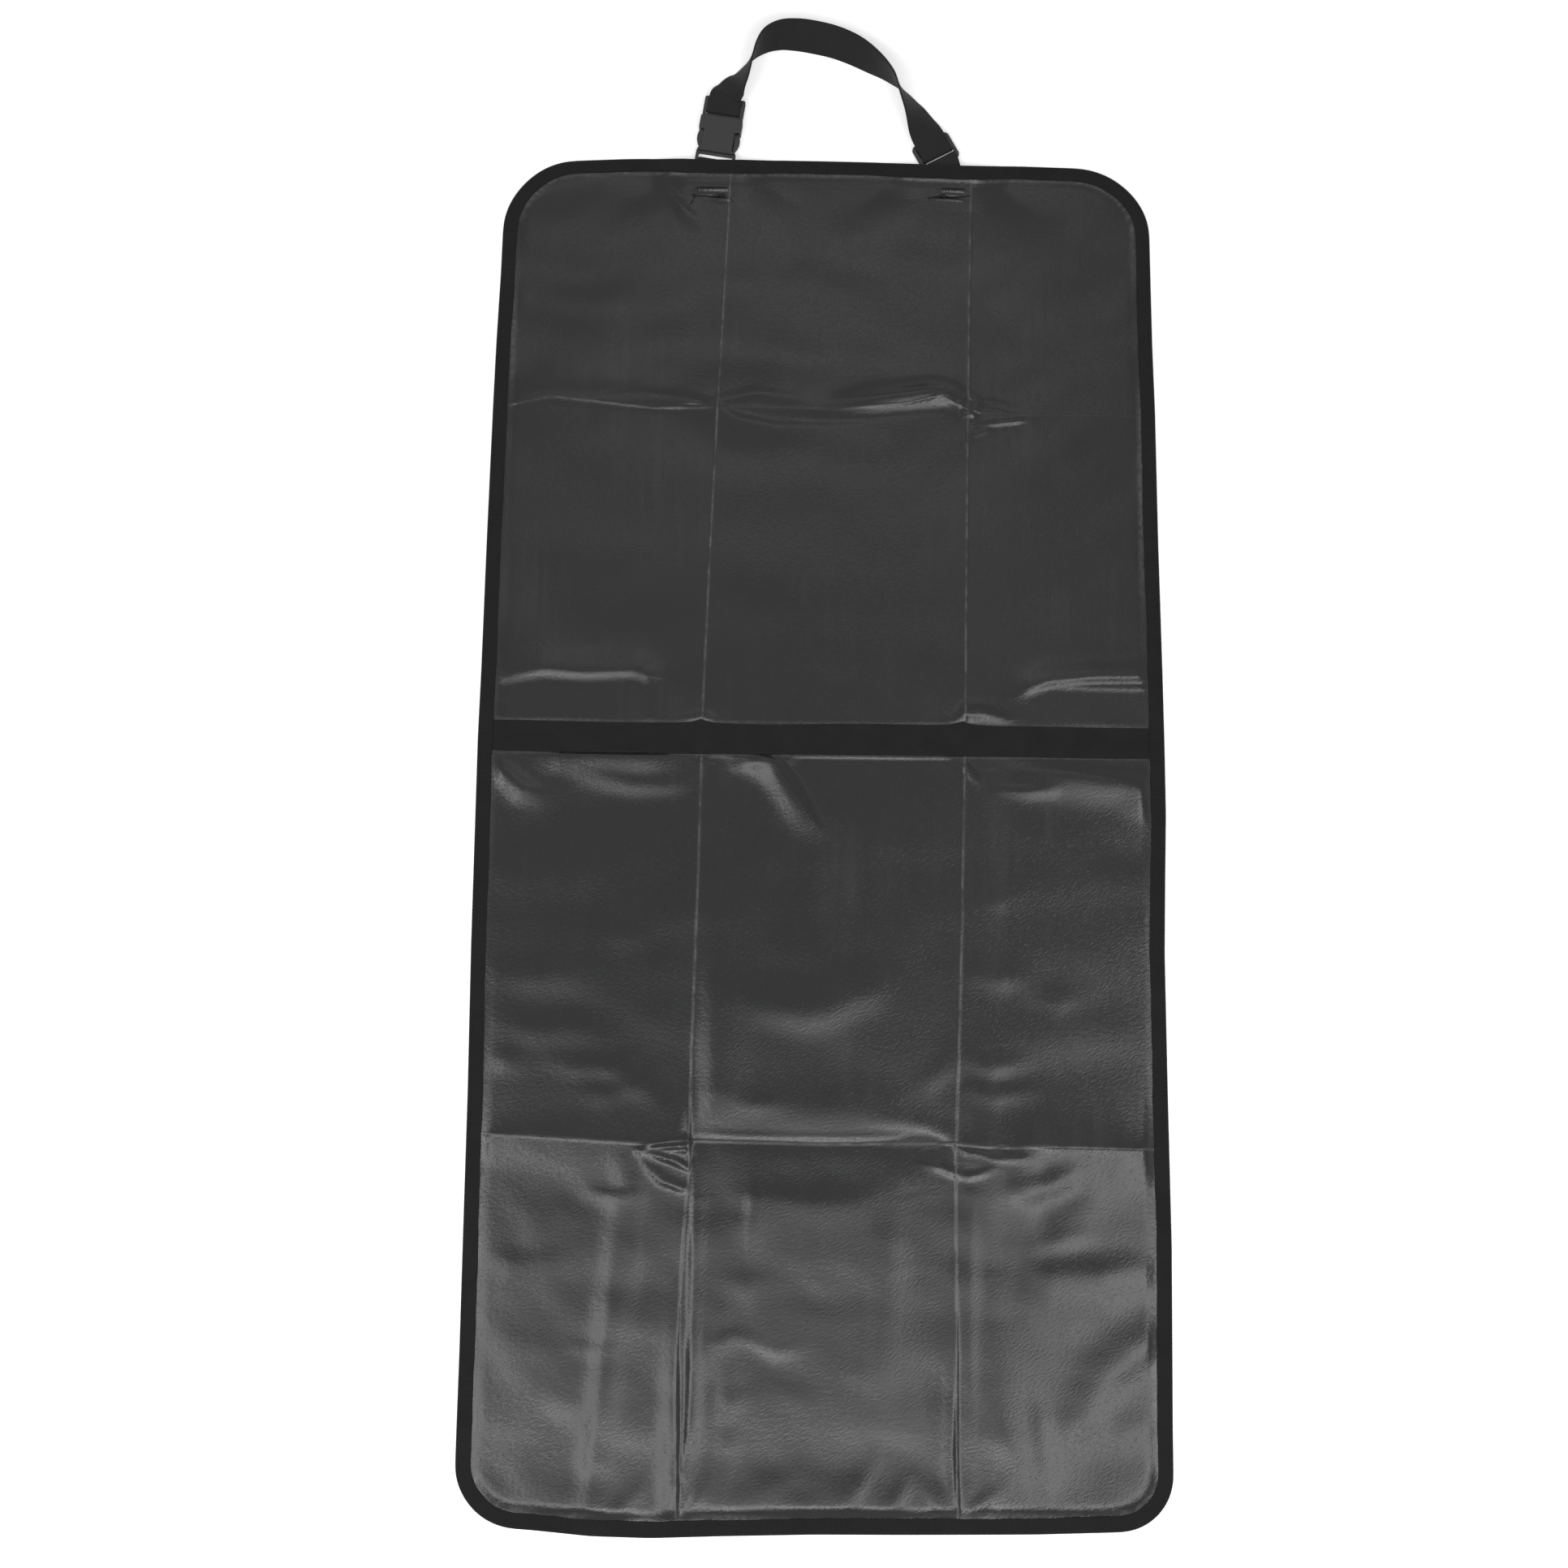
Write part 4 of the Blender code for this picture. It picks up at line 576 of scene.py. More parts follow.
def mesh_object(name, verts, faces, material, smooth_shade=True):
    """A new mesh object from points in millimetres."""
    mesh = bpy.data.meshes.new(name)
    mesh.from_pydata((np.asarray(verts, float) * MM).tolist(), [], [list(map(int, f)) for f in faces])
    mesh.validate()
    mesh.polygons.foreach_set("use_smooth", [smooth_shade] * len(mesh.polygons))
    mesh.materials.append(material)
    obj = bpy.data.objects.new(name, mesh)
    bpy.context.scene.collection.objects.link(obj)
    return obj


def set_uv(obj, uv):
    """UV coordinates per vertex, in metres of cloth."""
    layer = obj.data.uv_layers.new(name="UVMap")
    corners = np.empty(len(obj.data.loops), np.int32)
    obj.data.loops.foreach_get("vertex_index", corners)
    layer.data.foreach_set("uv", (np.asarray(uv, float)[corners] * MM).reshape(-1))


def set_value(obj, name, values):
    """A value per vertex, read by the material under the same name."""
    layer = obj.data.attributes.new(name, "FLOAT", "POINT")
    layer.data.foreach_set("value", np.asarray(values, np.float32))


def thicken(obj, thick):
    """Gives a sheet its thickness, downwards from its upper face."""
    solid = obj.modifiers.new("thickness", "SOLIDIFY")
    solid.thickness = thick * MM
    solid.offset = -1.0


def panel(name, node, v_low, v_high, across_fold, row, fold_left, fold_right, material, zones):
    """One coated panel on a grid whose lines follow its folds."""
    us = stations(*GRID_X, FOLDS_X, FINE, COARSE)
    vs = stations(v_low, v_high, [row], FINE, COARSE, zones)
    u, v = np.meshgrid(us, vs)
    shift = np.interp(u, [p[0] for p in across_fold], [p[1] for p in across_fold]) - row
    far_low, far_high = row - v_low, v_high - row
    share = np.where(v < row, (v - v_low) / far_low, (v_high - v) / far_high)
    y = v + shift * np.clip(share, 0, 1)
    line = np.asarray(sorted((p[1], p[0]) for p in fold_left))
    left = np.interp(y, line[:, 0], line[:, 1]) - FOLDS_X[0]
    line = np.asarray(sorted((p[1], p[0]) for p in fold_right))
    right = np.interp(y, line[:, 0], line[:, 1]) - FOLDS_X[1]
    knots = (GRID_X[0], *FOLDS_X, GRID_X[1])
    share_left = np.interp(u, knots, [0, 1, 0, 0])
    share_right = np.interp(u, knots, [0, 0, 1, 0])
    x = u + left * share_left + right * share_right
    points = np.stack([x.ravel(), y.ravel()], axis=1)
    depth, way = edge_depth(points)
    # The border of the grid is drawn onto the sheet's own edge, inside the fold of the binding.
    pull = np.clip(SHEET_INSET - depth, 0, None)
    points = points + way * pull[:, None]
    keep = depth > -2.2
    depth = np.maximum(depth, SHEET_INSET)
    z = sheet_top(points, depth)
    quads = grid_quads(len(vs), len(us))
    quads = quads[keep[quads].all(axis=1)]
    a, b, c, d = (points[quads[:, i]] for i in range(4))
    area = 0.5 * ((c[:, 0] - a[:, 0]) * (d[:, 1] - b[:, 1]) - (d[:, 0] - b[:, 0]) * (c[:, 1] - a[:, 1]))
    quads = quads[area > 0.02]
    used = np.unique(quads)
    number = np.full(len(points), -1)
    number[used] = np.arange(len(used))
    verts = np.column_stack([points, z])[used]
    obj = mesh_object(name, verts, number[quads], material)
    set_uv(obj, points[used])
    set_value(obj, "worn", worn(points[used]))
    # Mask of a painted highlight: a thin pale line on the sheet just inside the binding and beside both edges
    # of the band.
    seam = np.abs(points[used, 1] - SEAM_Y)
    set_value(obj, "lip", np.maximum(np.exp(-((depth[used] - LEG - 1.7) / 0.8) ** 2),
                                     0.6 * np.exp(-((seam - 12.2) / 0.7) ** 2)))
    thicken(obj, SHEET)
    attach(obj, "root")
    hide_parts(node)
    return obj


def swept(rings, closed):
    """A tube through rings of equally many points, as points and faces."""
    count = len(rings[0])
    verts = np.concatenate([np.asarray(r, float) for r in rings])
    spans = len(rings) if closed else len(rings) - 1
    faces = []
    for i in range(spans):
        here, there = i * count, ((i + 1) % len(rings)) * count
        for j in range(count):
            k = (j + 1) % count
            faces.append([here + j, here + k, there + k, there + j])
    if not closed:
        faces.append(list(range(count))[::-1])
        faces.append([(len(rings) - 1) * count + j for j in range(count)])
    volume = 0.0
    for f in faces:
        for b, c in zip(f[1:-1], f[2:]):
            volume += float(np.dot(verts[f[0]], np.cross(verts[b], verts[c])))
    if volume < 0:
        faces = [f[::-1] for f in faces]
    return verts, faces


def binding(material):
    """The ribbed tape folded round the mat's edge. Its upper leg lies on the sheet."""
    ring = resampled(np.vstack([OUTLINE, OUTLINE[:1]]), 1.9)[:-1]
    normal = inward(ring)
    travel = travelled(ring)
    tall = 2 * TAPE + 2 * GAP + SHEET
    # Depth from the outer edge, and height above the sheet (upper leg and its underside) or the floor
    upper = ((LEG, 0.05), (LEG + 0.12, 0.32), (LEG, 0.56), (9.8, 0.66), (8.0, 0.68), (6.0, 0.7), (4.0, 0.7),
             (2.4, 0.62))
    fold = ((1.1, tall - 0.05), (0.35, tall - 0.45), (0.0, tall * 0.5), (0.35, 0.45), (1.1, 0.04))
    lower = ((2.4, 0.0), (5.5, 0.0), (8.0, 0.0), (LEG, 0.02), (LEG, TAPE), (5.5, TAPE), (2.0, TAPE))
    inner = ((1.0, 1.1), (1.0, tall - 1.2))
    under = ((2.4, 0.03), (6.0, 0.03), (9.0, 0.03))
    waves = 0.18 * np.sin(travel * 0.043) + 0.13 * np.sin(travel * 0.117 + 1.2) + 0.1 * np.sin(travel * 0.31)
    rings = []
    for i, spot in enumerate(ring):
        raised = (TAPE + GAP) * smooth(1.0 - (abs(spot[1] - SEAM_Y) - 11.6) / 3.0)
        wave = waves[i]
        sections = [(depth + wave * (depth > 9), z, "sheet") for depth, z in upper]
        for part, kind in ((fold, "edge"), (lower, "floor"), (inner, "edge"), (under, "sheet")):
            sections += [(depth, z, kind) for depth, z in part]
        places = np.array([spot + normal[i] * s[0] for s in sections])
        tops = sheet_top(places, np.array([s[0] for s in sections]))
        lifts = hardware_lift(places)
        points = []
        for (depth, z, kind), place, top, lift in zip(sections, places, tops, lifts):
            if kind == "sheet":
                high = top + z + raised
            elif kind == "floor":
                high = z + lift
            else:
                high = z + lift + raised * (z > tall / 2)
            points.append((place[0], place[1], high))
        rings.append(points)
    verts, faces = swept(rings, True)
    obj = mesh_object("ribbed_binding", verts, faces, material)
    count = len(rings[0])
    girth = travelled(np.asarray(rings[0]))
    set_uv(obj, np.column_stack([np.repeat(travel, count), np.tile(girth, len(rings))]))
    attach(obj, "root")
    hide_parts("edge_binding")


def band(material):
    """The ribbed tape across the mat: twelve ribs along it."""
    left = float(np.interp(SEAM_Y, SIDE_Y, LEFT_X)) + BAND_INSET
    right = float(np.interp(SEAM_Y, SIDE_Y, RIGHT_X)) - BAND_INSET
    xs = np.linspace(left, right, 230)
    ys = np.linspace(BAND_LOW, BAND_HIGH, 97)
    x, y = np.meshgrid(xs, ys)
    edge_wave = 0.35 * np.sin(x * 0.021 + 0.6) + 0.2 * np.sin(x * 0.05)
    y = y + edge_wave
    rows_up = (y - BAND_LOW) / (BAND_HIGH - BAND_LOW)
    for middle, high, wide in ((-86.0, 2.4, 7.0), (101.0, 2.6, 9.0), (-40.0, -0.6, 40.0)):
        y = y + rows_up * high * np.exp(-np.abs(x - middle) / wide)
    points = np.stack([x.ravel(), y.ravel()], axis=1)
    rib_pitch = 1.77
    ribs = 0.11 * np.cos((y.ravel() - edge_wave.ravel() - BAND_LOW) / rib_pitch * 2 * math.pi + math.pi)
    calm = sheet_top(points) + 0.06
    pinch = 0.0
    for middle in FOLDS_X:
        for side, edge in ((1, BAND_HIGH), (-1, BAND_LOW)):
            away = ((points[:, 0] - middle) / 9.0) ** 2 + ((points[:, 1] - edge) / 4.5) ** 2
            pinch = pinch + 0.9 * np.exp(-away)
    z = calm + TAPE + ribs + pinch
    obj = mesh_object("ribbed_band", np.column_stack([points, z]), grid_quads(*x.shape), material)
    set_uv(obj, points)
    thicken(obj, 0.5)
    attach(obj, "root")
    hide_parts("centre_band")


def ribbon(name, node, path, across, material):
    """A webbing along a path, with the width direction given at each point, and its woven edges rounded."""
    path = np.asarray(path, float)
    across = np.asarray(across, float)
    ahead = unit(np.gradient(path, axis=0))
    across = unit(across - (across * ahead).sum(axis=1)[:, None] * ahead)
    normal = np.cross(across, ahead)
    half, deep = WEB_WIDE / 2, WEB / 2
    us = np.linspace(-half + 0.5, half - 0.5, 15)
    section = [(u, -deep + 0.03 * math.cos(u * 4)) for u in us]
    section += [(half - 0.12, -deep * 0.55), (half, 0.0), (half - 0.12, deep * 0.55)]
    section += [(u, deep - 0.03 * math.cos(u * 4)) for u in us[::-1]]
    section += [(-half + 0.12, deep * 0.55), (-half, 0.0), (-half + 0.12, -deep * 0.55)]
    rings = [[p + a * u + n * v for u, v in section] for p, a, n in zip(path, across, normal)]
    verts, faces = swept(rings, False)
    obj = mesh_object(name, verts, faces, material)
    set_uv(obj, np.column_stack([np.tile([s[0] for s in section], len(path)),
                                 np.repeat(travelled(path), len(section))]))
    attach(obj, "root")
    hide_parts(node)


def turned(turn, origin):
    """A function that puts (across, along, z) of a tilted piece into the mat's axes."""
    angle = math.radians(turn)
    right = np.array([math.cos(angle), -math.sin(angle), 0.0])
    ahead = np.array([math.sin(angle), math.cos(angle), 0.0])
    base = np.array([origin[0], origin[1], 0.0])

    def place(across, along, z):
        return base + right * across + ahead * along + np.array([0.0, 0.0, z])

    place.right, place.ahead = right, ahead
    return place


def hook(bar_edge, side, low, high, slack):
    """Along and z of a webbing that turns round a bar's edge. side is -1 when it turns below the edge."""
    reach = GAP + slack + WEB / 2
    middle, tall = (low + high) / 2, (high - low) / 2
    return [(bar_edge - side * 1.5, low), (bar_edge + side * 0.1, low + 0.15),
            (bar_edge + side * (reach * 0.8), middle - tall * 0.62), (bar_edge + side * reach, middle),
            (bar_edge + side * (reach * 0.8), middle + tall * 0.62), (bar_edge + side * 0.1, high - 0.15),
            (bar_edge - side * 1.5, high)]


def smooth_path(points, step):
    """A curve through the points, evenly spaced."""
    points = np.asarray(points, float)
    along = travelled(points[:, :3])
    slope = np.gradient(points, along, axis=0)
    wanted = np.linspace(0.0, along[-1], max(3, int(along[-1] / step) + 1))
    made = []
    for s in wanted:
        i = min(max(int(np.searchsorted(along, s)) - 1, 0), len(points) - 2)
        h = along[i + 1] - along[i]
        t = (s - along[i]) / h
        made.append((2 * t ** 3 - 3 * t ** 2 + 1) * points[i] + (t ** 3 - 2 * t ** 2 + t) * h * slope[i]
                    + (-2 * t ** 3 + 3 * t ** 2) * points[i + 1] + (t ** 3 - t ** 2) * h * slope[i + 1])
    return np.array(made)


def tab(name, node, place, bar_edge, bar_low, bar_high, sewn, material):
    """A webbing loop round a bar, with both layers sewn under the mat."""
    reach = GAP + TAB_SLACK + WEB / 2
    low, high = bar_low - reach, bar_high + reach
    rest_low, rest_high = WEB / 2, WEB / 2 + WEB + GAP
    turn = hook(bar_edge, 1, low, high, TAB_SLACK)
    sewn = np.array([sewn[0], sewn[1], 0.0])
    start = place(0.0, bar_edge - 5.5, 0.0)
    under, over = [], []
    for t in (0.0, 0.25, 0.5, 0.68, 0.85):
        spot = sewn + (start - sewn) * t
        rise = smooth((t - 0.38) / 0.62)
        under.append((*spot[:2], rest_low + (low - rest_low) * rise, t))
        over.append((*spot[:2], rest_high + (high - rest_high) * rise, t))
    loop = [(*place(0.0, along, z), 1.0) for along, z in turn]
    path = smooth_path(under + loop + over[::-1], 0.7)
    mix = smooth(path[:, 3])[:, None]
    across = np.array([1.0, 0.0, 0.0]) * (1 - mix) + place.right * mix
    ribbon(name, node, path[:, :3], across, material)


def handle(plug, slider, material):
    """The handle: looped round the plug's middle bar and the slider's middle bar, twisted between them."""
    reach = GAP + HANDLE_SLACK + WEB / 2
    low, high = BUCKLE_LOW - reach, BUCKLE_HIGH + reach
    points = [(*plug(0, 15.4, low), 0), (*plug(0, 10.5, low), 0)]
    points += [(*plug(0, along, z), 0) for along, z in hook(PLUG_BAR, -1, low, high, HANDLE_SLACK)]
    points += [(*plug(0, 10.0, high), 0), (*plug(0, 16.4, high + 0.3), 0)]
    for x, y, lean in HANDLE:
        z = max(WEB_WIDE / 2 * abs(math.sin(math.radians(lean))) + WEB / 2, 7.0)
        points.append((x, y, z + 0.2, lean))
    low, high = SLIDER_LOW - reach, SLIDER_HIGH + reach
    points += [(*slider(0, 11.8, high + 0.3), 0), (*slider(0, 5.5, high), 0)]
    edge = BARS[1][0]
    points += [(*slider(0, along, z), 0) for along, z in hook(edge, -1, low, high, HANDLE_SLACK)[::-1]]
    points += [(*slider(0, 4.0, low), 0), (*slider(0, 10.8, low), 0)]
    path = smooth_path(points, 0.8)
    path[:, 3] = np.clip(path[:, 3], 0, 142)
    ahead = np.gradient(path[:, :2], axis=0)
    travel = travelled(path[:, :3])
    out = [i for i in range(len(path)) if path[i, 3] > 3.0]
    first, last = out[0], out[-1]
    heading = np.unwrap(np.arctan2(ahead[first:last + 1, 1], ahead[first:last + 1, 0]))
    start = math.atan2(plug.ahead[1], plug.ahead[0])
    finish = math.atan2(-slider.ahead[1], -slider.ahead[0])
    blend_in = smooth((travel[first:last + 1] - travel[first]) / 16.0)
    blend_out = smooth((travel[last] - travel[first:last + 1]) / 14.0)
    heading = start * (1 - blend_in) + heading * blend_in
    heading = finish * (1 - blend_out) + heading * blend_out
    whole = np.concatenate([np.full(first, start), heading, np.full(len(path) - last - 1, finish)])
    lean = np.radians(path[:, 3])
    right = np.stack([np.sin(whole), -np.cos(whole), np.zeros(len(whole))], axis=1)
    across = right * np.cos(lean)[:, None] + np.array([0.0, 0.0, 1.0]) * np.sin(lean)[:, None]
    ribbon("woven_handle", "handle_strap", path[:, :3], across, material)


def tube(points, radius, sides=7):
    """Rings of a round thread along points."""
    points = np.asarray(points, float)
    ahead = unit(np.gradient(points, axis=0))
    side = unit(np.cross(ahead, [0.0, 0.0, 1.0]))
    over = np.cross(side, ahead)
    turn = np.linspace(0.0, 2 * math.pi, sides, endpoint=False)
    return [p + radius * (np.cos(turn)[:, None] * s + np.sin(turn)[:, None] * o)
            for p, s, o in zip(points, side, over)]


# Threads of the two sewn bars: half the thickness, and the points of each above the sheet (x, y, height)
THREADS = (
    (0.5, ((-98.8, 464.3, 0.5), (-98.0, 463.4, 0.4), (-95.0, 462.9, 0.3), (-90.0, 463.0, 0.35),
           (-86.0, 462.6, 0.3),
           (-82.0, 462.8, 0.5), (-78.0, 463.3, 0.7), (-74.6, 463.0, 0.3))),
    (0.34, ((-97.6, 462.6, 0.4), (-98.6, 461.2, 0.4), (-98.8, 459.6, 0.3), (-100.2, 457.6, 0.3),
            (-101.0, 456.6, 0.2))),
    (0.3, ((-99.6, 463.4, 0.3), (-98.6, 464.4, 0.6), (-97.2, 463.6, 0.6))),
    (0.62, ((-81.6, 461.6, 0.5), (-80.0, 462.8, 0.9), (-77.6, 463.9, 1.0), (-75.4, 463.4, 0.7),
            (-74.8, 462.0, 0.4))),
    (0.5, ((-80.4, 464.2, 0.5), (-78.4, 462.6, 1.1), (-76.4, 461.6, 0.7), (-74.6, 461.6, 0.3))),
    (0.5, ((76.6, 463.4, 0.3), (80.0, 464.4, 0.35), (84.0, 464.8, 0.5), (88.0, 465.2, 0.7),
           (93.0, 464.8, 0.3),
           (98.0, 464.9, 0.3), (103.4, 465.2, 0.3))),
    (0.28, ((103.0, 465.2, 0.3), (105.4, 465.7, 0.4), (108.0, 466.2, 0.3))),
    (0.6, ((84.2, 464.0, 0.5), (85.8, 465.4, 1.0), (88.4, 465.9, 0.9), (89.8, 464.8, 0.5))),
    (0.46, ((84.6, 466.0, 0.5), (86.6, 464.6, 1.1), (89.4, 464.2, 0.5))),
    (0.26, ((-97.4, 469.6, 0.2), (-90.0, 469.7, 0.25), (-82.0, 469.6, 0.25), (-74.0, 469.8, 0.2))),
    (0.26, ((86.0, 471.2, 0.2), (94.0, 471.3, 0.25), (103.4, 471.0, 0.2))),
)
# Short stitches across the puckers: x and y of the middle, and the length
STITCHES = ((-95.8, 467.8, 3.0), (-92.6, 467.9, 2.8), (-91.0, 467.8, 2.4), (-87.2, 467.9, 2.8),
            (-84.6, 467.8, 2.0), (89.6, 469.4, 2.6), (91.8, 469.5, 2.2), (96.6, 469.4, 1.8))


def threads(material):
    """The black threads of the sewn bars, with their loose ends."""
    lines = [(half, np.asarray(run, float)) for half, run in THREADS]
    for x, y, long in STITCHES:
        run = ((x - 0.2, y - long / 2, 0.1), (x, y, 0.3), (x + 0.3, y + long / 2, 0.1))
        lines.append((0.24, np.array(run)))
    verts, faces = [], []
    for half, run in lines:
        smooth_run = smooth_path(run, 0.5)
        top = sheet_top(smooth_run[:, :2])
        body, sides = swept(tube(np.column_stack([smooth_run[:, :2], top + smooth_run[:, 2]]), half), False)
        start = sum(len(v) for v in verts)
        verts.append(body)
        faces += [[start + k for k in f] for f in sides]
    obj = mesh_object("sewn_threads", np.concatenate(verts), faces, material)
    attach(obj, "root")


class Nodes:
    """A short way to build the node tree of a material or of the world."""

    def __init__(self, owner):
        self.owner = owner
        self.tree = owner.node_tree
        self.shader = self.tree.nodes.get("Principled BSDF")

    def add(self, kind, **values):
        node = self.tree.nodes.new(kind)
        for key, value in values.items():
            setattr(node, key, value)
        return node

    def link(self, start, end):
        self.tree.links.new(start, end)

    def math(self, operation, *values):
        node = self.add("ShaderNodeMath", operation=operation)
        for slot, value in zip(node.inputs, values):
            if isinstance(value, (int, float)):
                slot.default_value = value
            else:
                self.link(value, slot)
        return node.outputs[0]

    def noise(self, vector, scale, detail=3.0, rough=0.55, stretch=None):
        if stretch:
            mapping = self.add("ShaderNodeMapping")
            mapping.inputs["Scale"].default_value = stretch
            self.link(vector, mapping.inputs["Vector"])
            vector = mapping.outputs["Vector"]
        node = self.add("ShaderNodeTexNoise")
        node.inputs["Scale"].default_value = scale
        node.inputs["Detail"].default_value = detail
        node.inputs["Roughness"].default_value = rough
        self.link(vector, node.inputs["Vector"])
        return node.outputs["Fac"]

    def sine(self, value, pitch, phase=0.0):
        """Sine of a length in metres, with the pitch in millimetres."""
        turn = self.math("MULTIPLY", value, 2 * math.pi / (pitch * MM))
        return self.math("SINE", self.math("ADD", turn, phase))

    def ramp(self, value, low, high, out_low=0.0, out_high=1.0):
        node = self.add("ShaderNodeMapRange")
        node.inputs["From Min"].default_value = low
        node.inputs["From Max"].default_value = high
        node.inputs["To Min"].default_value = out_low
        node.inputs["To Max"].default_value = out_high
        self.link(value, node.inputs["Value"])
        return node.outputs["Result"]

    def mix(self, factor, first, second):
        node = self.add("ShaderNodeMix", data_type="RGBA")
        self.link(factor, node.inputs["Factor"])
        for slot, colour in ((node.inputs[6], first), (node.inputs[7], second)):
            if isinstance(colour, tuple):
                slot.default_value = (*colour, 1.0)
            else:
                self.link(colour, slot)
        return node.outputs[2]

    def bump(self, height, distance, strength=1.0, base=None):
        node = self.add("ShaderNodeBump")
        node.inputs["Distance"].default_value = distance * MM
        node.inputs["Strength"].default_value = strength
        self.link(height, node.inputs["Height"])
        if base is not None:
            self.link(base, node.inputs["Normal"])
        return node.outputs["Normal"]

    def seen(self):
        """1 for what the camera sees straight, in gloss or through a clear piece, and 0 for light."""
        rays = self.add("ShaderNodeLightPath").outputs
        seen = self.math("MAXIMUM", rays["Is Camera Ray"], rays["Is Glossy Ray"])
        return self.math("MAXIMUM", seen, rays["Is Transmission Ray"])

    def split(self, vector):
        """X and Y of a vector."""
        parts = self.add("ShaderNodeSeparateXYZ")
        self.link(vector, parts.inputs["Vector"])
        return parts.outputs["X"], parts.outputs["Y"]

    def done(self, **values):
        """The finished material, with these values on its shader. The grey is that of Blender's viewport."""
        self.owner.diffuse_color = (*values.pop("grey"), 1.0)
        for key, value in values.items():
            slot = self.shader.inputs[key.replace("_", " ")]
            if isinstance(value, (int, float)):
                slot.default_value = value
            elif isinstance(value, tuple):
                slot.default_value = (*value, 1.0)
            else:
                self.link(value, slot)
        return self.owner


def new_material(name):
    made = bpy.data.materials.new(name)
    made.use_nodes = True
    return Nodes(made)


def coated_material():
    """Black coated cloth: a soft sheen over a fine diagonal twill, whitened along the folds, with a painted
    highlight along the binding and the band.
    """
    n = new_material("coated_cloth")
    place = n.add("ShaderNodeTexCoord").outputs["Object"]
    x, y = n.split(place)
    diagonal = n.math("SUBTRACT", n.math("MULTIPLY", y, 0.84), n.math("MULTIPLY", x, 0.54))
    twill = n.sine(diagonal, 1.0)
    over = n.math("ADD", n.math("MULTIPLY", y, 0.54), n.math("MULTIPLY", x, 0.84))
    cross = n.sine(over, 0.62)
    weave = n.math("ADD", n.math("MULTIPLY", twill, 0.5), n.math("MULTIPLY", cross, 0.22))
    turned_place = n.add("ShaderNodeCombineXYZ")
    n.link(diagonal, turned_place.inputs["X"])
    n.link(n.math("MULTIPLY", over, 0.4), turned_place.inputs["Y"])
    floats = n.noise(turned_place.outputs["Vector"], 720.0, 2.0, 0.65)
    streak = n.noise(place, 60.0, 1.0, 0.4, (1.0, 0.07, 1.0))
    grain = n.noise(place, 900.0, 2.0, 0.6)
    amount = n.ramp(n.noise(place, 9.0, 2.0), 0.35, 0.7, 0.35, 1.0)
    bumped = n.bump(n.math("MULTIPLY", weave, amount), 0.014, 1.0)
    bumped = n.bump(streak, 0.06, 1.0, bumped)
    bumped = n.bump(floats, 0.2, 1.0, bumped)
    bumped = n.bump(grain, 0.03, 0.6, bumped)
    worn_at = n.add("ShaderNodeAttribute", attribute_name="worn").outputs["Fac"]
    patchy = n.ramp(n.noise(place, 95.0, 3.0), 0.38, 0.64, 0.22, 1.0)
    white = n.math("MULTIPLY", worn_at, patchy)
    tone = n.mix(n.noise(place, 14.0, 4.0), (0.0058, 0.006, 0.0063), (0.0102, 0.0104, 0.0108))
    rubbed = n.math("MULTIPLY", n.ramp(n.noise(place, 70.0, 3.0, 0.6, (1.0, 0.05, 1.0)), 0.45, 0.75),
                    n.ramp(n.noise(place, 11.0, 2.0), 0.5, 0.66))
    tone = n.mix(n.math("MULTIPLY", rubbed, 0.8), tone, (0.021, 0.0213, 0.0218))
    # Painted highlight: the colour turns pale in a thin beaded line inside the binding and beside the band.
    lip = n.add("ShaderNodeAttribute", attribute_name="lip").outputs["Fac"]
    tone = n.mix(n.math("MULTIPLY", lip, n.ramp(n.noise(place, 300.0, 2.0), 0.35, 0.65, 0.3, 1.0)), tone,
                 (0.06, 0.061, 0.062))
    colour = n.mix(white, tone, (0.085, 0.086, 0.088))
    rough = n.ramp(n.noise(place, 30.0, 3.0), 0.3, 0.7, 0.16, 0.21)
    rough = n.math("ADD", rough, n.math("MULTIPLY", white, 0.15))
    return n.done(Base_Color=colour, Roughness=rough, Normal=bumped, Specular_IOR_Level=0.33,
                  grey=(0.03, 0.03, 0.03))


def tape_material(name, ribs_across):
    """Ribbed black tape, with painted shade in the hollows between ribs that run across it. UV is metres
    along and across the tape.
    """
    n = new_material(name)
    uv = n.add("ShaderNodeTexCoord").outputs["UV"]
    along, across = n.split(uv)
    wander = n.math("MULTIPLY", n.noise(uv, 260.0, 2.0), 0.0006)
    if ribs_across:
        rib = n.sine(n.math("ADD", along, wander), 1.52)
        thread = n.sine(across, 0.55)
    else:
        rib = n.sine(n.math("ADD", along, wander), 0.62)
        thread = n.sine(across, 0.4)
    fuzz = n.noise(uv, 1600.0, 3.0, 0.7)
    bumped = n.bump(rib, 0.13 if ribs_across else 0.05, 1.0)
    bumped = n.bump(thread, 0.03, 1.0, bumped)
    bumped = n.bump(fuzz, 0.12, 0.8, bumped)
    lint = n.ramp(n.noise(uv, 2300.0, 2.0, 0.6), 0.66, 0.8, 0.0, 0.5)
    worn_at = n.ramp(n.noise(uv, 50.0, 3.0), 0.3, 0.75)
    tone = n.mix(worn_at, (0.0058, 0.0059, 0.0061), (0.0108, 0.0108, 0.0112))
    colour = n.mix(lint, tone, (0.05, 0.05, 0.052))
    # Painted shade: the hollows between the ribs across the tape are darkened in the colour.
    if ribs_across:
        colour = n.mix(n.ramp(rib, -1.0, 0.1, 0.85, 0.0), colour, (0.002, 0.002, 0.0022))
    return n.done(Base_Color=colour, Roughness=0.88, Normal=bumped, Specular_IOR_Level=0.22,
                  Sheen_Weight=0.06, Sheen_Roughness=0.5, grey=(0.012, 0.012, 0.012))


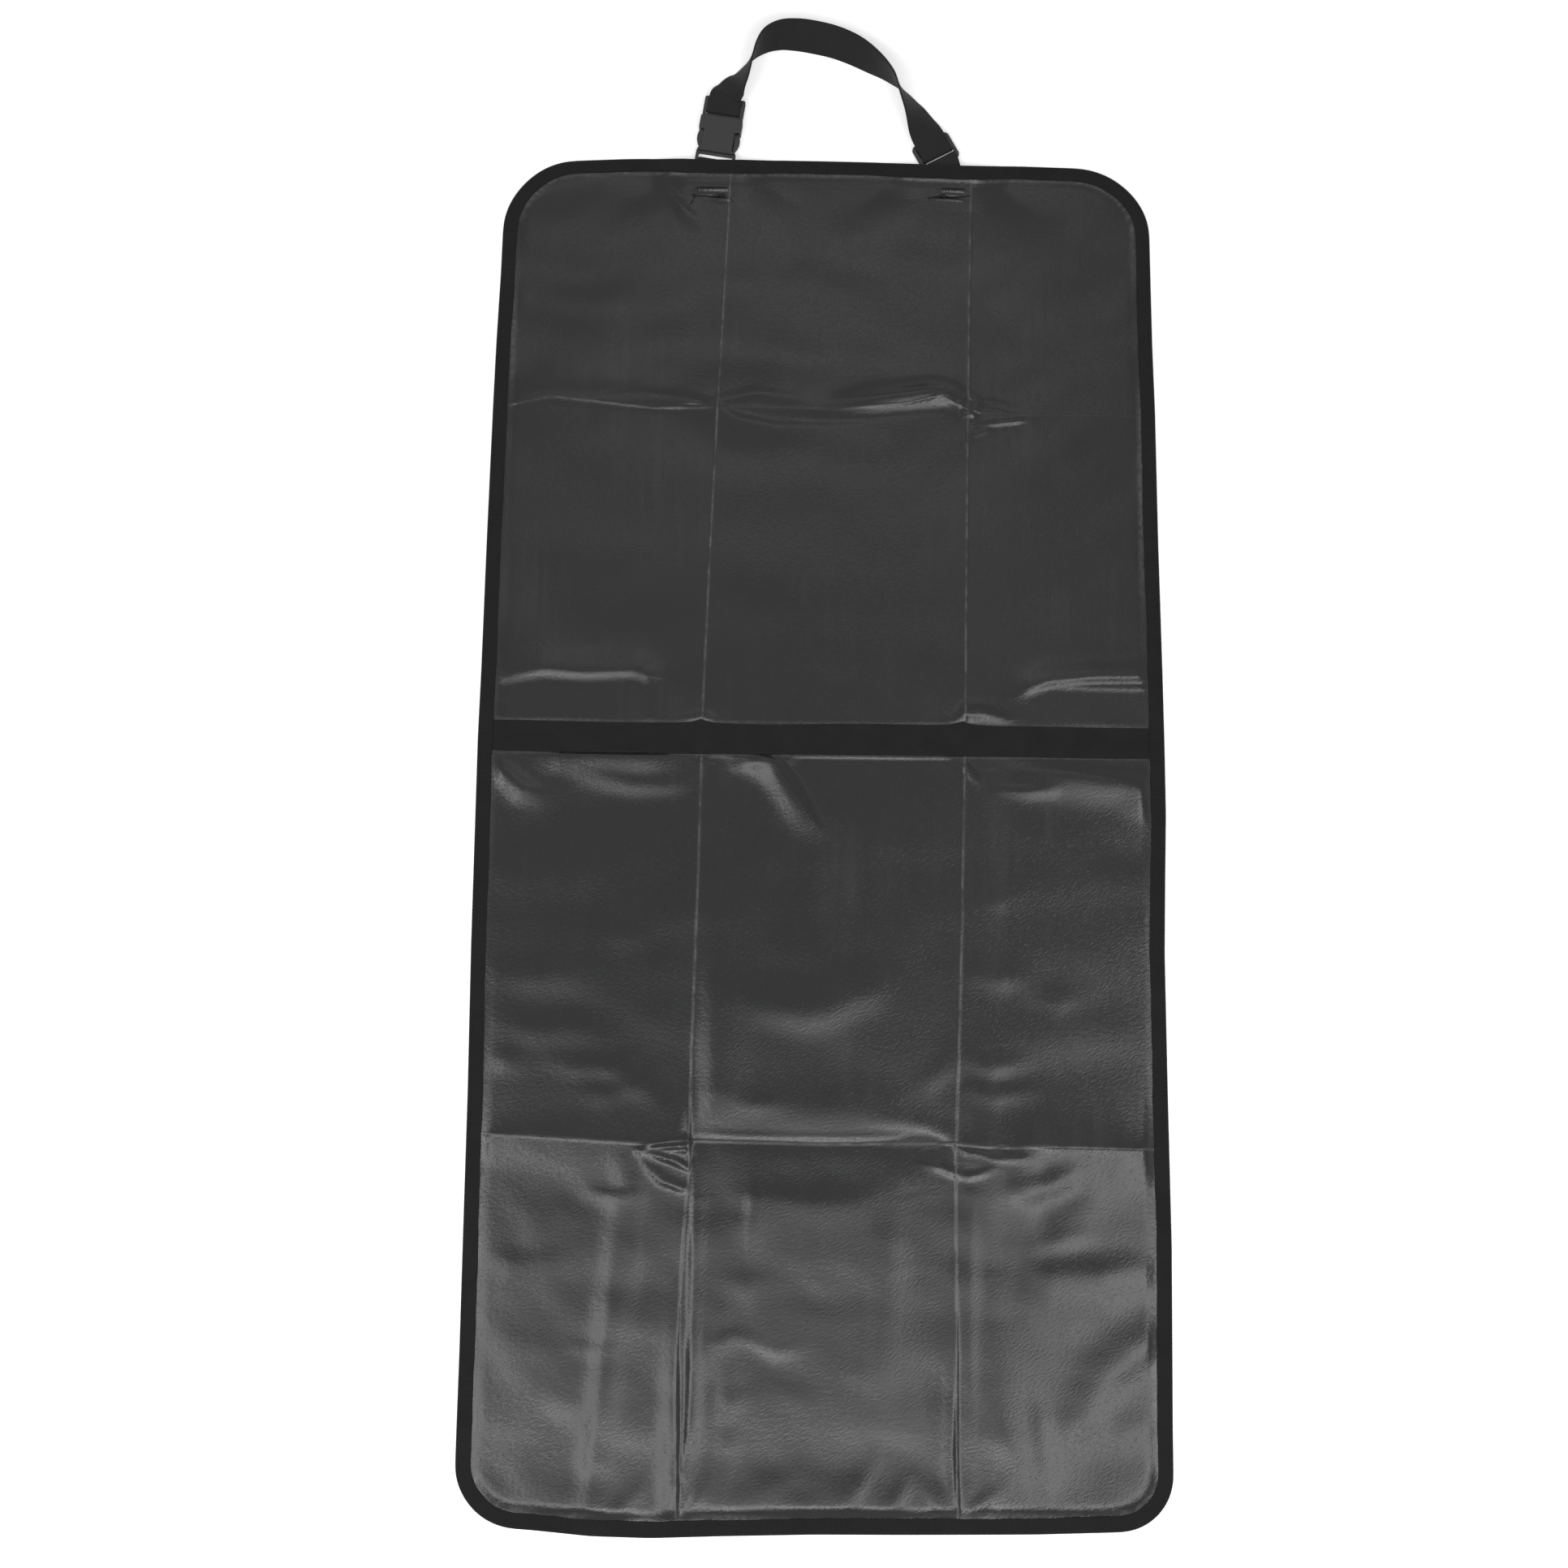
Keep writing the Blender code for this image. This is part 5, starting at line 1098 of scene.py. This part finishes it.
def webbing_material():
    """Black woven webbing: rows across it that cross fine lengthwise cords, with painted shade in the weave's
    hollows. UV is metres across and along.
    """
    n = new_material("woven_webbing")
    uv = n.add("ShaderNodeTexCoord").outputs["UV"]
    across, along = n.split(uv)
    cord = n.sine(across, 1.35)
    row = n.sine(n.math("ADD", along, n.math("MULTIPLY", cord, 0.00018)), 1.05)
    crossing = n.math("MULTIPLY", cord, row)
    weave = n.math("ADD", n.math("MULTIPLY", row, 0.6), n.math("MULTIPLY", crossing, 0.4))
    fuzz = n.noise(uv, 1500.0, 3.0, 0.7)
    bumped = n.bump(weave, 0.10, 1.0)
    bumped = n.bump(fuzz, 0.12, 0.7, bumped)
    lint = n.ramp(n.noise(uv, 2100.0, 2.0, 0.6), 0.66, 0.8, 0.0, 0.5)
    tone = n.mix(n.noise(uv, 70.0, 3.0), (0.008, 0.008, 0.0084), (0.014, 0.014, 0.0146))
    # Painted shade: the low places of the weave are darkened in the colour.
    weave_painted_shade = n.mix(n.ramp(weave, -0.9, 0.2, 0.45, 0.0), tone, (0.003, 0.003, 0.0032))
    colour = n.mix(lint, weave_painted_shade, (0.055, 0.055, 0.057))
    return n.done(Base_Color=colour, Roughness=0.8, Normal=bumped, Specular_IOR_Level=0.25,
                  Sheen_Weight=0.06, Sheen_Roughness=0.5, grey=(0.015, 0.015, 0.015))


def plastic_material():
    """Moulded black plastic with a fine matt grain."""
    n = new_material("moulded_plastic")
    place = n.add("ShaderNodeTexCoord").outputs["Object"]
    grain = n.noise(place, 2600.0, 2.0, 0.6)
    soft = n.noise(place, 220.0, 3.0)
    bumped = n.bump(grain, 0.035, 0.8)
    bumped = n.bump(soft, 0.06, 0.6, bumped)
    tone = n.mix(n.noise(place, 160.0, 3.0), (0.013, 0.013, 0.0138), (0.018, 0.018, 0.019))
    rough = n.ramp(n.noise(place, 340.0, 2.0), 0.3, 0.7, 0.4, 0.52)
    return n.done(Base_Color=tone, Roughness=rough, Normal=bumped, Specular_IOR_Level=0.4,
                  grey=(0.02, 0.02, 0.02))


def thread_material():
    """Black polyester thread."""
    n = new_material("black_thread")
    place = n.add("ShaderNodeTexCoord").outputs["Object"]
    twist = n.noise(place, 1800.0, 2.0)
    tone = n.mix(twist, (0.003, 0.003, 0.0032), (0.009, 0.009, 0.0095))
    return n.done(Base_Color=tone, Roughness=0.7, Normal=n.bump(twist, 0.08), Specular_IOR_Level=0.25,
                  grey=(0.006, 0.006, 0.006))


def floor_material():
    """Plain white floor. Seen straight or in gloss it reads as white, and it keeps the object's shadow."""
    n = new_material("white_floor")
    seen = n.seen()
    glow = n.add("ShaderNodeEmission")
    glow.inputs["Color"].default_value = (1.0, 1.0, 1.0, 1.0)
    n.link(n.math("MULTIPLY", seen, 0.5), glow.inputs["Strength"])
    both = n.add("ShaderNodeAddShader")
    n.link(n.shader.outputs[0], both.inputs[0])
    n.link(glow.outputs[0], both.inputs[1])
    n.link(both.outputs[0], n.tree.nodes["Material Output"].inputs["Surface"])
    return n.done(Base_Color=(0.82, 0.82, 0.82), Roughness=0.95, Specular_IOR_Level=0.0,
                  grey=(0.8, 0.8, 0.8))


def floor():
    """The plain floor, a hair below the mat."""
    side, z = 6000.0, -0.15
    corners = [(-side, -side, z), (side, -side, z), (side, side, z), (-side, side, z)]
    obj = mesh_object("floor", corners, [(0, 1, 2, 3)], floor_material(), False)


# Light of the room on the object, and the lamps' height
ROOM = 0.08
LAMP_HEIGHT = 1900.0
# Softboxes above the near end of the mat: low and high x and y, and radiance
SOFTBOXES = {
    "softbox_over": (-600, 250, -640, -300, 2.0),
    "softbox_over_wide": (-640, 300, -760, -215, 1.1),
    "softbox_near": (-600, 600, -1150, -850, 8.2),
    "softbox_near_far": (-450, 450, -1450, -1150, 9.0),
    "softbox_left": (-1000, -620, -1100, -60, 5.6),
    "softbox_left_far": (-1200, -1000, -1050, -250, 7.0),
    "softbox_beside": (350, 618, -1100, -290, 4.6),
    "softbox_right": (620, 1000, -1100, -60, 5.6),
    "softbox_right_far": (1000, 1200, -1050, -250, 7.0),
    "core_near": (-430, 430, -1130, -970, 5.0),
    "core_left": (-900, -690, -950, -350, 4.0),
    "core_right": (690, 900, -950, -350, 5.0),
    "softbox_far_left": (-1850, -1280, -280, 260, 9.0),
    # pale patches of the ceiling, seen in the upper half
    "glow_row_left": (-540, -180, 1310, 1430, 1.4),
    "glow_row_right": (230, 580, 1300, 1430, 1.4),
    "glow_fold_left": (-500, -90, 1010, 1090, 3.2),
    "glow_fold": (-60, 220, 945, 1060, 3.6),
    "glow_top": (-90, 260, 1190, 1270, 3.0),
    "glow_top_left": (-540, -240, 1300, 1420, 3.0),
    "glow_side_left": (-500, -200, 870, 910, 1.8),
    "glow_band_right": (240, 560, 490, 600, 1.3),
    "glow_top_right": (250, 560, 1190, 1380, 1.5),
    "glow_band_left": (-480, -180, 530, 610, 1.2),
    "glow_right": (240, 560, 20, 260, 0.45),
}


def world():
    """A dim white room that the camera sees as plain white."""
    made = bpy.data.worlds.new("white_room")
    bpy.context.scene.world = made
    made.use_nodes = True
    n = Nodes(made)
    back = n.tree.nodes["Background"]
    back.inputs["Color"].default_value = (1.0, 1.0, 1.0, 1.0)
    n.link(n.ramp(n.seen(), 0.0, 1.0, ROOM, 1.0), back.inputs["Strength"])


def lights():
    """The softboxes, level and facing down."""
    for name, (x0, x1, y0, y1, radiance) in SOFTBOXES.items():
        data = bpy.data.lights.new(name, "AREA")
        data.shape = "RECTANGLE"
        data.size = (x1 - x0) * MM
        data.size_y = (y1 - y0) * MM
        data.energy = radiance * math.pi * data.size * data.size_y
        lamp = bpy.data.objects.new(name, data)
        lamp.location = ((x0 + x1) / 2 * MM, (y0 + y1) / 2 * MM, LAMP_HEIGHT * MM)
        lamp.visible_camera = False
        bpy.context.scene.collection.objects.link(lamp)


# The photograph's camera: lean and roll in degrees, distance from the aim, focal length on 36 mm
CAMERA_LEAN, CAMERA_ROLL = 10.5, 0.66
CAMERA_AWAY = 1624.64
CAMERA_AIM = (-26.0, 18.6, 0.0)
CAMERA_LENS = 52.32


def camera():
    """Camera above the mat, leaning back."""
    lean, roll = math.radians(CAMERA_LEAN), math.radians(CAMERA_ROLL)
    forward = Vector((0.0, math.sin(lean), -math.cos(lean)))
    up = Vector((0.0, math.cos(lean), math.sin(lean)))
    right = Vector((1.0, 0.0, 0.0))
    right, up = right * math.cos(roll) + up * math.sin(roll), up * math.cos(roll) - right * math.sin(roll)
    data = bpy.data.cameras.new("camera")
    data.sensor_width = 36.0
    data.lens = CAMERA_LENS
    data.clip_start, data.clip_end = 0.05, 50.0
    obj = bpy.data.objects.new("camera", data)
    spot = (Vector(CAMERA_AIM) - forward * CAMERA_AWAY) * MM
    obj.matrix_world = Matrix((
        (right.x, up.x, -forward.x, spot.x),
        (right.y, up.y, -forward.y, spot.y),
        (right.z, up.z, -forward.z, spot.z),
        (0.0, 0.0, 0.0, 1.0)))
    bpy.context.scene.collection.objects.link(obj)
    bpy.context.scene.camera = obj


def main():
    """Room, camera and every dressed piece."""
    bpy.context.scene.view_settings.view_transform = "Standard"
    camera()
    world()
    lights()
    floor()
    cloth = coated_material()
    ribbed = tape_material("ribbed_tape", True)
    lengthwise = tape_material("ribbed_band_tape", False)
    webbing = webbing_material()
    plastic = plastic_material()
    upper = panel("coated_back_panel", "backrest_panel", SEAM_Y + SEAM_GAP / 2, GRID_HIGH, FOLD_ACROSS_UP,
                  FOLD_ROW_UP, FOLD_LEFT_UP, FOLD_RIGHT_UP, cloth, ZONES_UP)
    lower = panel("coated_seat_panel", "seat_panel", GRID_LOW, SEAM_Y - SEAM_GAP / 2, FOLD_ACROSS_LOW,
                  FOLD_ROW_LOW, FOLD_LEFT_LOW, FOLD_RIGHT_LOW, cloth, ZONES_LOW)
    binding(ribbed)
    band(lengthwise)
    buckle = turned(BUCKLE_TURN, MOUTH)
    ring = turned(SLIDER_TURN, SLIDER)
    tab("woven_socket_tab", "socket_tab", buckle, SLOT_LOW, BUCKLE_LOW, BUCKLE_HIGH, SOCKET_TAB_END, webbing)
    tab("woven_slider_tab", "slider_tab", ring, BARS[0][1], SLIDER_LOW, SLIDER_HIGH, SLIDER_TAB_END, webbing)
    handle(buckle, ring, webbing)
    threads(thread_material())
    for node in ("buckle_socket", "buckle_plug", "strap_slider"):
        frame["nodes"][node].data.materials.clear()
        frame["nodes"][node].data.materials.append(plastic)


main()
